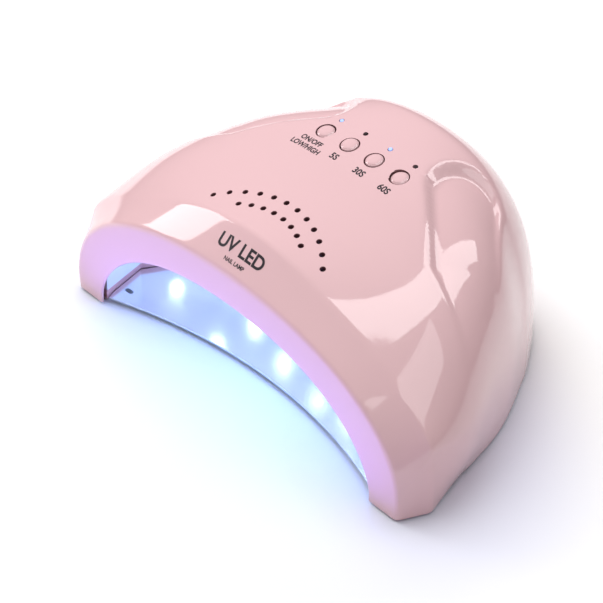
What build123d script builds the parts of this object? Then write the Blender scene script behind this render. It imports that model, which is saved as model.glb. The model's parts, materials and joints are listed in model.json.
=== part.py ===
from build123d import *
import os
from math import atan2, cos, degrees, radians, sin, sqrt, tan

# UV LED nail lamp: a gloss arch-shaped cover over a faceted lamp hood, with a drop-off mirror base.
# Millimetres, +Z up.  The origin is on the table, in the middle of the footprint.
# The hand opening faces -Y.  "Depth" is measured back from the front feet of the cover.

# ---- driving dimensions ----
DEPTH_TO_CENTRE = 69.1      # depth of the origin
STAND = 1.2                 # the cover's lower edge above the table
WALL = 2.5                  # cover wall
FIT = 0.4                   # gap between parts that only sit beside each other
SKIRT = 5.2                 # how far the cover's outline is carried below its edge before trimming

FRONT_DEPTH = -2.0
FRONT_WALL_BACK = 1.2
ROUNDING_DEPTH = 100.0      # from here back the cover closes like the end of an egg
POLE_DEPTH = 141.6
CLOSING_STEPS = (0.2, 0.4, 0.56, 0.7, 0.82, 0.91, 0.966)
ACROSS_POWER = 1.76
UP_POWER = 1.72
SIDE_TAPER = 0.6            # how fast the sides run in at the start of the rounding

# Arches of the cover: depth, foot half-width, waist half-width, waist height, crown height,
# crown fullness, shoulder fullness.
FRONT_ARCH = (FRONT_DEPTH, 104.2, 104.5, 6.0, 62.4, 0.575, 0.644)
ARCHES = (
    (12.0, 109.4, 109.6, 31.0, 77.5, 0.43, 0.24),
    (23.0, 105.0, 109.2, 29.5, 78.6, 0.52, 0.46),
    (35.0, 100.4, 106.6, 27.6, 81.2, 0.60, 0.64),
    (50.0, 95.8, 99.9, 26.0, 85.2, 0.62, 0.79),
    (65.0, 90.5, 91.8, 22.0, 89.9, 0.69, 0.84),
    (82.0, 81.6, 82.2, 16.7, 93.2, 0.76, 0.75),
    (100.0, 70.1, 70.4, 11.1, 94.8, 0.74, 0.65),
)
OPENING_HALF = 87.5         # hand opening in the front wall
OPENING_TOP = 47.3
OPENING_SPRING = 3.0
OPENING_CROWN = 0.80
OPENING_SHOULDER = 0.265

# Grip scoops: a teardrop from the rear top down to the front shoulder, on both sides.
SCOOP_TOP = (43.4, 86.4)    # x and depth of the middle of the round end
SCOOP_TIP = (99.5, 40.6)
SCOOP_RADIUS = 15.0
SCOOP_SHIFT = (1.5, 0.0, -4.0)
SCOOP_STRAIGHT = 0.36       # share of its length with parallel sides
SCOOP_NARROWING = 18.0
SCOOP_TAIL = 12.0
SCOOP_TAIL_HALF = 4.0
SCOOP_TIP_HALF = 1.5

# Hood: straight-sided liner with a flat ceiling, two slanted facets and upright sides.
HOOD_WALL = 2.0
HOOD_STATIONS = ((1.6, 88.2), (25.0, 95.0), (108.0, 57.0))   # depth, inner half-width
HOOD_CEILING = 51.2
CEILING_HALF = 30.0
FACET_ANGLE = 26.0
FLANGE_THICK = 1.6
FLANGE_REACH = 4.5

# Ring under the hood, and the base plate that lifts up against its ledge.
RING_LOW = 1.5
RING_TOP = 5.6
LEDGE_LOW = 3.0
PLATE_LOW = 1.6
PLATE_THICK = 1.0
PLATE_LAP = 4.0             # how far the plate runs under the hood's sides
PLATE_CORNER_HALF = 87.0
PLATE_BACK = 8.0            # how far the plate runs past the hood's back wall
BACK_NARROWING = 1.5        # and how much narrower it gets on each side for each millimetre of that
PLATE_FRONT_DEPTH = 17.9    # depth of the hollow front edge's deepest point
PLATE_ARC = 241.6           # radius of the hollow front edge
PLATE_GAP = 0.5
PLATE_HOLES = (85.0, 11.0)
PLATE_SLOT = (4.6, 2.4)
MAGNET_RADIUS = 2.0
MAGNET_TALL = 1.6
MAGNETS = ((88.2, 45.0), (40.0, 112.0))

FOOT_TALL = 1.9
FOOT_RADIUS = 4.0
FEET = ((98.5, 6.5), (38.0, 121.5))
SHELL_SCREWS = ((100.0, 16.5), (87.2, 58.5), (20.0, 127.0))
HOOD_SCREWS = ((96.0, 33.0), (71.8, 86.0))
PILOT_RADIUS = 1.05
SCREW_RADIUS = 1.0
SHELL_HEAD_RADIUS = 2.4
SMALL_HEAD_RADIUS = 1.8
HEAD_TALL = 1.3
SCREW_FIT = 0.15            # gap round a screw's thread
HEAD_FIT = 0.2              # gap round a screw's head, and over it
FOOT_FIT = 0.1
BOSS_RADIUS = 3.0

# Lamp boards and LEDs.
BOARD_THICK = 1.6
LED_ROWS = (20.0, 42.0, 64.0, 86.0)
CEILING_COLUMNS = (-20.0, 0.0, 20.0)
FACET_COLUMNS = (15.0, 37.0)     # distance down the facet from the ceiling's edge
THUMB_STEPS = (16.0, 44.0)       # distance back along the side wall
THUMB_HEIGHT = 16.0
WINDOW_RADIUS = 3.7
LED_BASE = 5.0
LED_BASE_TALL = 1.4
LED_LENS_RADIUS = 2.3
SENSOR_DEPTH = 101.0
SENSOR_HALF = 7.0
SENSOR_RADIUS = 2.0
SENSOR_BOARD = (26.0, 10.0)
CEILING_BOARD = (58.0, 82.0)
CEILING_BOARD_DEPTH = 53.0
CEILING_SCREWS = ((26.0, 15.0), (26.0, 91.0))
FACET_BOARD = ((5.0, 12.0), (48.0, 12.0), (48.0, 54.0), (26.0, 94.0), (5.0, 94.0))   # down the facet, depth
THUMB_BOARD = (42.0, 11.0)
THUMB_BOARD_MIDDLE = 30.0
SPREADER = (56.0, 62.0)
SPREADER_DEPTH = 48.0
SPREADER_THICK = 2.0
FIN_THICK = 1.4
FIN_TALL = 7.0
FIN_PITCH = 7.0
FIN_COUNT = 8
CONNECTOR_DEPTH = 88.0
CONNECTOR = (8.0, 5.0, 5.0)
LEAD_RADIUS = 1.2

# Button panel: heights are measured along the buttons' axis from the crown at the row's middle.
SWITCH_PITCH = 15.35
BUTTON_DEPTH = 69.9
PANEL_TILT = 13.0
PANEL_RISE = 92.4           # height of the crown at the middle of the button row
OUTER_DROP = 1.25           # the crown lies this much lower at the outer two buttons
BUTTONS = (("power", -1.5), ("5s", -0.5), ("30s", 0.5), ("60s", 1.5))
BUTTON_RADIUS = 4.25
BUTTON_GAP = 0.32
BUTTON_PROUD = 0.75
BUTTON_CROWN = 0.4
BUTTON_EDGE = 0.5
KEY_FLANGE_RADIUS = 5.4
KEY_FLANGE_TOP = -3.2
KEY_FLANGE_THICK = 0.9
STEM_RADIUS = 1.5
STEM_END = -8.6
PLUNGER_RADIUS = 1.25
PLUNGER_END = -10.4
RUNNING_FIT = 0.07
GUIDE_TOP = -6.6
GUIDE_THICK = 1.2
GUIDE_HALF = 30.0
GUIDE_BACK_HALF = 24.9        # narrower behind, beside the grip scoops
GUIDE_STEP = 4.0
GUIDE_ENDS = (-11.4, 13.2)
GUIDE_POSTS = ((-27, -8.5), (27, -8.5), (-15.35, 10.5), (15.35, 10.5))
GUIDE_POST_RADIUS = 2.6
BOARD_TOP = -12.6
SWITCH_TALL = 3.2
SWITCH_SIZE = 6.0
PIPE_OFFSET = 8.9           # indicators sit this far behind the buttons, along the panel
PIPE_RADIUS = 1.15
PIPE_TOP = -0.35
PIPE_END = -11.4
PIPE_FIT = 0.05
INDICATOR_LED = (2.0, 1.6, 0.9)
CHIPS = ((4.0, 2.0, 7.0, 7.0), (16.0, 1.0, 5.0, 4.0), (-12.0, 6.0, 3.0, 5.0))   # place, then size
CHIP_TALL = 1.4
CAPACITORS = ((24.0, -2.0), (24.0, 4.0))
CAPACITOR_RADIUS = 2.8
CAPACITOR_TALL = 6.0
RESISTOR = (2.0, 1.2, 0.7)
RESISTOR_PITCH = (4.5, 3.2)

VENT_RADIUS = 1.1
VENT_ARCS = ((51.8, -19.3, 7.65, 12), (41.3, -15.9, 8.15, 8))   # radius, centre depth, step, count

# Power inlet in the flat pad at the back.
BACK_DEPTH = ROUNDING_DEPTH + (POLE_DEPTH - ROUNDING_DEPTH) * CLOSING_STEPS[-1]
JACK_HEIGHT = 14.0
JACK_RECESS = 1.8
JACK_FLANGE = 5.5
JACK_FLANGE_THICK = 1.4
JACK_RADIUS = 3.9
JACK_LONG = 12.0
JACK_BORE = 2.8
JACK_BORE_DEEP = 10.0
JACK_PIN = 1.0
PAD_RADIUS = 8.0
PAD_THICK = 2.0
NUT_RADIUS = 6.2
NUT_THICK = 2.2
CONTACT = (2.4, 0.6, 3.0)
CONTACT_OFFSET = 1.8

LEAD_STRAIGHT = 6.0         # straight run out of a connector
LEAD_BEND = 3.0
THUMB_LEAD_BEND = 2.0

BIG = 300.0                 # wider than the lamp, for trimming across it
SIDES = (-1, 1)
DOME_ALIGN = (Align.CENTER, Align.CENTER, Align.MAX)
os.makedirs("parts", exist_ok=True)


# ---- planes and places ----
def at_depth(depth):
    """Upright plane across the lamp; its x is the lamp's X and its y is Z."""
    return Plane.XZ.offset(DEPTH_TO_CENTRE - depth)


def back(depth):
    """The Y of a depth."""
    return depth - DEPTH_TO_CENTRE


def facet_height(x):
    """Height of the hood's inner facet at a distance from the middle."""
    return HOOD_CEILING - tan(radians(FACET_ANGLE)) * (x - CEILING_HALF)


def side_turn():
    """Angle between the hood's side wall and the front-to-back direction."""
    (near, wide), (far, narrow) = HOOD_STATIONS[1:]
    return atan2(wide - narrow, far - near)


def ceiling_plane():
    return Plane.XY.offset(HOOD_CEILING + HOOD_WALL)


def facet_plane(side):
    """Plane on the outside of a slanted facet; x runs down the facet and z points out of the hood."""
    slope = radians(FACET_ANGLE)
    out = Vector(side * sin(slope), 0, cos(slope))
    edge = Vector(side * CEILING_HALF, 0, HOOD_CEILING) + out * HOOD_WALL
    return Plane(edge, x_dir=(side * cos(slope), 0, -sin(slope)), z_dir=out)


def thumb_plane(side):
    """Plane on the outside of a side wall; x runs back along it and z points out of the hood."""
    turn = side_turn()
    near, wide = HOOD_STATIONS[1]
    out = Vector(side * cos(turn), sin(turn), 0)
    start = Vector(side * wide, back(near), 0) + out * HOOD_WALL
    return Plane(start, x_dir=(-side * sin(turn), cos(turn), 0), z_dir=out)


def panel(height=0.0):
    """Plane of the button row; height is measured along the buttons' axis."""
    tilt = radians(PANEL_TILT)
    middle = (0, back(BUTTON_DEPTH), PANEL_RISE)
    return Plane(middle, x_dir=(1, 0, 0), z_dir=(0, -sin(tilt), cos(tilt))).offset(height)


def crown_drop(place):
    """How much lower the crown lies at a button's place than at the middle of the row."""
    return OUTER_DROP if abs(place) > 1 else 0.0


def mirrored(places):
    """Every place on both sides of the lamp, as X and Y."""
    return [(side * x, back(depth)) for x, depth in places for side in SIDES]


def led_sites():
    """Each lamp plane with the places of its LEDs on it."""
    sites = [(ceiling_plane(), [(x, back(row)) for row in LED_ROWS for x in CEILING_COLUMNS])]
    for side in SIDES:
        inner = [(FACET_COLUMNS[0], side * back(row)) for row in LED_ROWS]
        outer = [(FACET_COLUMNS[1], side * back(row)) for row in LED_ROWS[:3]]
        sites.append((facet_plane(side), inner + outer))
        sites.append((thumb_plane(side), [(step, side * THUMB_HEIGHT) for step in THUMB_STEPS]))
    return sites


def finish(block, name):
    """Label a finished piece and write it."""
    block.part.label = name
    export_step(block.part, f"parts/{name}.step")


# ---- the cover's form ----
def arch_face(arch, inset):
    depth, foot, waist, waist_z, crown, crown_pull, shoulder_pull = arch
    waist, foot = waist - inset, foot - inset
    top = crown - inset + STAND
    spring = waist_z + STAND
    low_z = STAND - SKIRT
    low_x = waist - (waist - foot) * ((spring - low_z) / (spring - STAND)) ** 2
    mid_z = (spring + low_z) / 2
    shoulder_z = spring + shoulder_pull * (top - spring)
    with BuildSketch(at_depth(depth)) as face:
        with BuildLine():
            Line((-low_x, low_z), (low_x, low_z))
            Bezier((low_x, low_z), (waist, mid_z), (waist, spring))
            Bezier((waist, spring), (waist, shoulder_z), (crown_pull * waist, top), (0, top))
            Bezier((0, top), (-crown_pull * waist, top), (-waist, shoulder_z), (-waist, spring))
            Bezier((-waist, spring), (-waist, mid_z), (-low_x, low_z))
        make_face()
    return face.sketch


def closing_arch(step, inset):
    """One arch of the rounded back end, step being 0 at its start and 1 at the pole."""
    _, foot, waist, waist_z, crown, crown_pull, shoulder_pull = ARCHES[-1]
    run = (POLE_DEPTH - inset - ROUNDING_DEPTH) * step
    run_in = inset + SIDE_TAPER * run * (1 - step)
    across = sqrt(1 - step ** ACROSS_POWER)
    up = sqrt(1 - step ** UP_POWER)
    return (ROUNDING_DEPTH + run, (foot - run_in) * across, (waist - run_in) * across,
            waist_z * up, (crown - inset) * up, crown_pull, shoulder_pull)


def dome(inset):
    with BuildPart() as form:
        for arch in ARCHES:
            add(arch_face(arch, inset))
        for step in CLOSING_STEPS:
            add(arch_face(closing_arch(step, inset), 0.0))
        loft()
    return form.part


def between(first, second, depth):
    """The arch that lies between two arches at a depth."""
    share = (depth - first[0]) / (second[0] - first[0])
    return tuple(a + (b - a) * share for a, b in zip(first, second))


def band(front, inset):
    """The sloped band between the front wall and the crease."""
    with BuildPart() as form:
        add(arch_face(front, inset))
        add(arch_face(ARCHES[0], inset))
        loft(ruled=True)
    return form.part


def scoop_column(side, grow):
    """Upright column with the scoop's teardrop outline."""
    length = sqrt((SCOOP_TIP[0] - SCOOP_TOP[0]) ** 2 + (SCOOP_TIP[1] - SCOOP_TOP[1]) ** 2)
    turn = degrees(atan2(SCOOP_TIP[1] - SCOOP_TOP[1], side * (SCOOP_TIP[0] - SCOOP_TOP[0])))
    origin = (side * SCOOP_TOP[0], back(SCOOP_TOP[1]), 20)
    radius = SCOOP_RADIUS + grow
    straight = length * SCOOP_STRAIGHT
    tail, tip = SCOOP_TAIL_HALF + grow, SCOOP_TIP_HALF + grow
    with BuildPart() as column:
        with BuildSketch(Plane(origin, x_dir=Vector(1, 0, 0).rotate(Axis.Z, turn), z_dir=(0, 0, 1))):
            with BuildLine():
                Line((0, -radius), (straight, -radius))
                Bezier((straight, -radius), (straight + SCOOP_NARROWING, -radius),
                       (length - SCOOP_TAIL, -tail), (length, -tip))
                Line((length, -tip), (length, tip))
                Bezier((length, tip), (length - SCOOP_TAIL, tail),
                       (straight + SCOOP_NARROWING, radius), (straight, radius))
                Line((straight, radius), (0, radius))
                ThreePointArc((0, radius), (-radius, 0), (0, -radius))
            make_face()
        extrude(amount=90)
    return column.part


def scooped(form, grow):
    """A form with both grip scoops sunk into it, by the same depth in every form."""
    for side in SIDES:
        sunk = Pos(side * SCOOP_SHIFT[0], SCOOP_SHIFT[1], SCOOP_SHIFT[2]) * form
        form = form - (scoop_column(side, grow) - sunk)
    return form


def cover_form(inset):
    front = FRONT_ARCH if inset == 0 else between(FRONT_ARCH, ARCHES[0], FRONT_WALL_BACK)
    return scooped(dome(inset) + band(front, inset), inset)


outer_form = cover_form(0.0)
cavity_form = cover_form(WALL)
inside_form = cover_form(WALL + FIT)

# ---- cover ----
with BuildPart() as posts:
    with BuildSketch(panel(GUIDE_TOP)):
        with Locations(GUIDE_POSTS):
            Circle(GUIDE_POST_RADIUS)
    extrude(amount=13)
    with BuildSketch(Plane.XY.offset(RING_TOP)):
        with Locations(mirrored(SHELL_SCREWS)):
            Circle(BOSS_RADIUS)
    extrude(amount=60)
    with BuildSketch(at_depth(BACK_DEPTH - WALL - PAD_THICK)):
        with Locations((0, JACK_HEIGHT)):
            Circle(PAD_RADIUS)
    extrude(amount=-6)
    add(outer_form, mode=Mode.INTERSECT)

with BuildPart() as top_shell:
    add(outer_form)
    add(cavity_form, mode=Mode.SUBTRACT)
    with BuildSketch(Plane.XY.offset(STAND)):
        Rectangle(BIG, BIG)
    extrude(amount=-20, mode=Mode.SUBTRACT)
    # hand opening
    with BuildSketch(at_depth(FRONT_DEPTH - 1)):
        with BuildLine():
            spring = STAND + OPENING_SPRING
            top = STAND + OPENING_TOP
            shoulder = spring + OPENING_SHOULDER * (top - spring)
            half, full = OPENING_HALF, OPENING_CROWN * OPENING_HALF
            Line((-half, spring), (-half, -1))
            Line((-half, -1), (half, -1))
            Line((half, -1), (half, spring))
            Bezier((half, spring), (half, shoulder), (full, top), (0, top))
            Bezier((0, top), (-full, top), (-half, shoulder), (-half, spring))
        make_face()
    extrude(amount=-(FRONT_WALL_BACK - FRONT_DEPTH + 1.2), mode=Mode.SUBTRACT)
    # vents: two fans of round holes
    for radius, centre_depth, step, count in VENT_ARCS:
        angles = [radians(step * (i - (count - 1) / 2)) for i in range(count)]
        with BuildSketch(Plane.XY.offset(70)):
            with Locations([(radius * sin(a), back(centre_depth) + radius * cos(a)) for a in angles]):
                Circle(VENT_RADIUS)
        extrude(amount=25, mode=Mode.SUBTRACT)
    # button and indicator holes
    with BuildSketch(panel(-8)):
        with Locations([(SWITCH_PITCH * place, 0) for _, place in BUTTONS]):
            Circle(BUTTON_RADIUS + BUTTON_GAP)
        with Locations([(SWITCH_PITCH * place, PIPE_OFFSET) for _, place in BUTTONS]):
            Circle(PIPE_RADIUS + PIPE_FIT)
    extrude(amount=12, mode=Mode.SUBTRACT)
    # posts that carry the button guide, bosses for the screws from below, the inlet's pad
    add(posts.part)
    with BuildSketch(panel(GUIDE_TOP)):
        with Locations(GUIDE_POSTS):
            Circle(PILOT_RADIUS)
    extrude(amount=2.4, mode=Mode.SUBTRACT)
    with BuildSketch(Plane.XY.offset(RING_TOP)):
        with Locations(mirrored(SHELL_SCREWS)):
            Circle(PILOT_RADIUS)
    extrude(amount=9, mode=Mode.SUBTRACT)
    with BuildSketch(at_depth(BACK_DEPTH + 1)):
        with Locations((0, JACK_HEIGHT)):
            Circle(JACK_RADIUS + 0.2)
    extrude(amount=12, mode=Mode.SUBTRACT)
    with BuildSketch(at_depth(BACK_DEPTH + 1)):
        with Locations((0, JACK_HEIGHT)):
            Circle(JACK_FLANGE + 0.3)
    extrude(amount=1 + JACK_RECESS, mode=Mode.SUBTRACT)
finish(top_shell, "top_shell")


# ---- ring, base plate and what holds them ----
def plan_outline(grow, front_depth, front_half, back_grow):
    """Outline of the chamber on the table: the hood's stations, grown sideways and backwards."""
    (_, _), (near, wide), (far, narrow) = HOOD_STATIONS
    tail = narrow + grow - BACK_NARROWING * back_grow
    right = [(front_half, back(front_depth)), (wide + grow, back(near)), (narrow + grow, back(far)),
             (tail, back(far + back_grow))]
    left = [(-x, y) for x, y in reversed(right)]
    return right + left


def low_opening():
    """The opening in the ring above its ledge, level with the hood's inside."""
    (near, narrow), (_, _), (far, _) = HOOD_STATIONS
    front = [(side * (narrow - 0.3), back(near - 3)) for side in (1, -1)]
    return [front[0]] + plan_outline(0, near, narrow, 0.01) + [front[1]]


with BuildPart() as base_frame:
    with BuildSketch(Plane.XY.offset(RING_LOW)):
        Rectangle(BIG, BIG)
    extrude(amount=RING_TOP - RING_LOW)
    add(inside_form, mode=Mode.INTERSECT)
    with BuildSketch(Plane.XY.offset(LEDGE_LOW)):
        Polygon(*low_opening(), align=None)
    extrude(amount=10, mode=Mode.SUBTRACT)
    with BuildSketch(Plane.XY):
        Polygon(*plan_outline(PLATE_LAP + PLATE_GAP, -2, PLATE_CORNER_HALF + PLATE_GAP - 1.4,
                              PLATE_BACK + PLATE_GAP), align=None)
    extrude(amount=LEDGE_LOW, mode=Mode.SUBTRACT)
    with BuildSketch(Plane.XY.offset(LEDGE_LOW)):
        with Locations(mirrored(MAGNETS)):
            Circle(MAGNET_RADIUS)
    extrude(amount=MAGNET_TALL, mode=Mode.SUBTRACT)
    with BuildSketch(Plane.XY.offset(RING_LOW)):
        with Locations(mirrored(FEET)):
            Circle(FOOT_RADIUS + FOOT_FIT)
        with Locations(mirrored(SHELL_SCREWS)):
            Circle(SHELL_HEAD_RADIUS + HEAD_FIT)
    extrude(amount=FOOT_TALL - RING_LOW, mode=Mode.SUBTRACT)
    with BuildSketch(Plane.XY.offset(RING_LOW)):
        with Locations(mirrored(SHELL_SCREWS)):
            Circle(SHELL_HEAD_RADIUS + HEAD_FIT)
    extrude(amount=HEAD_TALL + HEAD_FIT, mode=Mode.SUBTRACT)
    with BuildSketch(Plane.XY):
        with Locations(mirrored(SHELL_SCREWS)):
            Circle(SCREW_RADIUS + SCREW_FIT)
    extrude(amount=10, mode=Mode.SUBTRACT)
    with BuildSketch(Plane.XY.offset(LEDGE_LOW + 0.6)):
        with Locations(mirrored(HOOD_SCREWS)):
            Circle(PILOT_RADIUS)
    extrude(amount=10, mode=Mode.SUBTRACT)
finish(base_frame, "base_frame")

with BuildPart() as base_plate:
    with BuildSketch(Plane.XY.offset(PLATE_LOW)):
        Polygon(*plan_outline(PLATE_LAP, HOOD_STATIONS[0][0], PLATE_CORNER_HALF, PLATE_BACK), align=None)
        with Locations((0, back(PLATE_FRONT_DEPTH - PLATE_ARC))):
            Circle(PLATE_ARC, mode=Mode.SUBTRACT)
        with Locations(mirrored([PLATE_HOLES])):
            SlotOverall(*PLATE_SLOT, mode=Mode.SUBTRACT)
    extrude(amount=PLATE_THICK)
finish(base_plate, "base_plate")

with BuildPart() as plate_magnets:
    with BuildSketch(Plane.XY.offset(LEDGE_LOW)):
        with Locations(mirrored(MAGNETS)):
            Circle(MAGNET_RADIUS)
    extrude(amount=MAGNET_TALL)
finish(plate_magnets, "plate_magnets")

with BuildPart() as rubber_feet:
    with BuildSketch():
        with Locations(mirrored(FEET)):
            Circle(FOOT_RADIUS)
    extrude(amount=FOOT_TALL)
    fillet(rubber_feet.faces().sort_by(Axis.Z)[0:4].edges(), 0.5)
finish(rubber_feet, "rubber_feet")


# ---- hood ----
def hood_face(depth, half, low, grow):
    """Five-sided section of the hood; grow is the wall's thickness, or 0 for the inside."""
    side = half + grow / cos(side_turn())
    lift = grow / cos(radians(FACET_ANGLE))
    top = HOOD_CEILING + grow
    corner = CEILING_HALF + (lift - grow) / tan(radians(FACET_ANGLE))
    right = [(side, low), (side, facet_height(side) + lift), (corner, top)]
    with BuildSketch(at_depth(depth)) as face:
        Polygon(*right, *[(-x, z) for x, z in reversed(right)], align=None)
    return face.sketch


def hood_form(low, grow):
    (near, first), (middle, wide), (far, narrow) = HOOD_STATIONS
    run_in = tan(side_turn()) * grow
    with BuildPart() as form:
        add(hood_face(near, first, low, grow))
        add(hood_face(middle, wide, low, grow))
        add(hood_face(far + grow, narrow - run_in, low, grow))
        loft(ruled=True)
    return form.part


with BuildPart() as reflector_hood:
    with BuildSketch(Plane.XY.offset(RING_TOP)):
        reach = FLANGE_REACH + HOOD_WALL
        front_depth, front_half = HOOD_STATIONS[0]
        Polygon(*plan_outline(reach, front_depth, front_half + 6, reach), align=None)
        with Locations(mirrored(HOOD_SCREWS)):
            Circle(SCREW_RADIUS + SCREW_FIT, mode=Mode.SUBTRACT)
        with Locations(mirrored(SHELL_SCREWS)):
            Circle(BOSS_RADIUS + FIT, mode=Mode.SUBTRACT)
    extrude(amount=FLANGE_THICK)
    add(inside_form, mode=Mode.INTERSECT)
    add(hood_form(RING_TOP, HOOD_WALL))
    add(hood_form(RING_TOP - 2, 0.0), mode=Mode.SUBTRACT)
    with BuildSketch(at_depth(HOOD_STATIONS[0][0])):
        Rectangle(BIG, BIG)
    extrude(amount=10, mode=Mode.SUBTRACT)
    for plane, places in led_sites():
        with BuildSketch(plane):
            with Locations(places):
                Circle(WINDOW_RADIUS)
        extrude(amount=-HOOD_WALL - 1, mode=Mode.SUBTRACT)
    with BuildSketch(ceiling_plane()):
        with Locations([(side * SENSOR_HALF, back(SENSOR_DEPTH)) for side in SIDES]):
            Circle(SENSOR_RADIUS + 0.2)
    extrude(amount=-HOOD_WALL - 1, mode=Mode.SUBTRACT)
finish(reflector_hood, "reflector_hood")

# ---- lamp boards and LEDs ----
with BuildPart() as ceiling_board:
    with BuildSketch(ceiling_plane()):
        with Locations((0, back(CEILING_BOARD_DEPTH))):
            Rectangle(*CEILING_BOARD)
        with Locations(mirrored(CEILING_SCREWS)):
            Circle(SCREW_RADIUS + SCREW_FIT, mode=Mode.SUBTRACT)
    extrude(amount=BOARD_THICK)
finish(ceiling_board, "ceiling_board")

for side, hand in zip(SIDES, ("left", "right")):
    with BuildPart() as facet_board:
        with BuildSketch(facet_plane(side)):
            Polygon(*[(u, side * back(depth)) for u, depth in FACET_BOARD], align=None)
        extrude(amount=BOARD_THICK)
    finish(facet_board, f"facet_board_{hand}")
    with BuildPart() as thumb_board:
        with BuildSketch(thumb_plane(side)):
            with Locations((THUMB_BOARD_MIDDLE, side * THUMB_HEIGHT)):
                Rectangle(*THUMB_BOARD)
        extrude(amount=BOARD_THICK)
    finish(thumb_board, f"thumb_board_{hand}")

with BuildPart() as led_bases:
    for plane, places in led_sites():
        with BuildSketch(plane):
            with Locations(places):
                Rectangle(LED_BASE, LED_BASE)
        extrude(amount=-LED_BASE_TALL)
finish(led_bases, "led_bases")

with BuildPart() as led_lenses:
    for plane, places in led_sites():
        with Locations(plane.offset(-LED_BASE_TALL)):
            with Locations([(x, y, 0) for x, y in places]):
                Sphere(LED_LENS_RADIUS, arc_size1=-90, arc_size2=0, align=DOME_ALIGN)
finish(led_lenses, "led_lenses")

with BuildPart() as heat_spreader:
    with BuildSketch(ceiling_plane().offset(BOARD_THICK)):
        with Locations((0, back(SPREADER_DEPTH))):
            Rectangle(*SPREADER)
    extrude(amount=SPREADER_THICK)
    with BuildSketch(ceiling_plane().offset(BOARD_THICK + SPREADER_THICK)):
        with Locations((0, back(SPREADER_DEPTH))):
            with GridLocations(FIN_PITCH, 0, FIN_COUNT, 1):
                Rectangle(FIN_THICK, SPREADER[1])
    extrude(amount=FIN_TALL)
finish(heat_spreader, "heat_spreader")

with BuildPart() as board_screws:
    with BuildSketch(ceiling_plane().offset(BOARD_THICK)):
        with Locations(mirrored(CEILING_SCREWS)):
            Circle(SMALL_HEAD_RADIUS)
    extrude(amount=HEAD_TALL)
    with BuildSketch(ceiling_plane()):
        with Locations(mirrored(CEILING_SCREWS)):
            Circle(SCREW_RADIUS)
    extrude(amount=BOARD_THICK)
finish(board_screws, "board_screws")

with BuildPart() as sensor_board:
    with BuildSketch(ceiling_plane()):
        with Locations((0, back(SENSOR_DEPTH))):
            Rectangle(*SENSOR_BOARD)
    extrude(amount=BOARD_THICK)
finish(sensor_board, "sensor_board")

with BuildPart() as sensor_eyes:
    with BuildSketch(ceiling_plane()):
        with Locations([(side * SENSOR_HALF, back(SENSOR_DEPTH)) for side in SIDES]):
            Circle(SENSOR_RADIUS)
    extrude(amount=-HOOD_WALL - 0.2)
    with Locations(ceiling_plane().offset(-HOOD_WALL - 0.2)):
        with Locations([(side * SENSOR_HALF, back(SENSOR_DEPTH), 0) for side in SIDES]):
            Sphere(SENSOR_RADIUS, arc_size1=-90, arc_size2=0, align=DOME_ALIGN)
finish(sensor_eyes, "sensor_eyes")


# ---- button panel ----
def guide_outline():
    """Outline of the button guide and its board: narrower behind the button row."""
    front, rear = GUIDE_ENDS
    right = [(GUIDE_HALF, front), (GUIDE_HALF, GUIDE_STEP),
             (GUIDE_BACK_HALF, GUIDE_STEP), (GUIDE_BACK_HALF, rear)]
    return right + [(-x, y) for x, y in reversed(right)]


with BuildPart() as button_guide:
    with BuildSketch(panel(GUIDE_TOP)):
        Polygon(*guide_outline(), align=None)
    extrude(amount=-GUIDE_THICK)
    with BuildSketch(panel(GUIDE_TOP - GUIDE_THICK)):
        with Locations(GUIDE_POSTS):
            Circle(GUIDE_POST_RADIUS)
    extrude(amount=BOARD_TOP - GUIDE_TOP + GUIDE_THICK)
    with BuildSketch(panel(GUIDE_TOP)):
        with Locations([(SWITCH_PITCH * place, 0) for _, place in BUTTONS]):
            Circle(STEM_RADIUS + RUNNING_FIT)
        with Locations([(SWITCH_PITCH * place, PIPE_OFFSET) for _, place in BUTTONS]):
            Circle(PIPE_RADIUS + 0.25)
        with Locations(GUIDE_POSTS):
            Circle(SCREW_RADIUS + SCREW_FIT)
    extrude(amount=-10, mode=Mode.SUBTRACT)
finish(button_guide, "button_guide")

with BuildPart() as control_board:
    with BuildSketch(panel(BOARD_TOP)):
        Polygon(*guide_outline(), align=None)
        with Locations(GUIDE_POSTS):
            Circle(SCREW_RADIUS + SCREW_FIT, mode=Mode.SUBTRACT)
    extrude(amount=-BOARD_THICK)
finish(control_board, "control_board")

with BuildPart() as panel_screws:
    with BuildSketch(panel(BOARD_TOP - BOARD_THICK)):
        with Locations(GUIDE_POSTS):
            Circle(SMALL_HEAD_RADIUS)
    extrude(amount=-HEAD_TALL)
    with BuildSketch(panel(BOARD_TOP - BOARD_THICK)):
        with Locations(GUIDE_POSTS):
            Circle(SCREW_RADIUS)
    extrude(amount=GUIDE_TOP - BOARD_TOP + BOARD_THICK + 2)
finish(panel_screws, "panel_screws")

with BuildPart() as switch_housings:
    with BuildSketch(panel(BOARD_TOP)):
        with Locations([(SWITCH_PITCH * place, 0) for _, place in BUTTONS]):
            RectangleRounded(SWITCH_SIZE, SWITCH_SIZE, 0.6)
    extrude(amount=SWITCH_TALL)
    with BuildSketch(panel(BOARD_TOP + SWITCH_TALL)):
        with Locations([(SWITCH_PITCH * place, 0) for _, place in BUTTONS]):
            Circle(PLUNGER_RADIUS + RUNNING_FIT)
    extrude(amount=-2.2, mode=Mode.SUBTRACT)
finish(switch_housings, "switch_housings")

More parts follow.
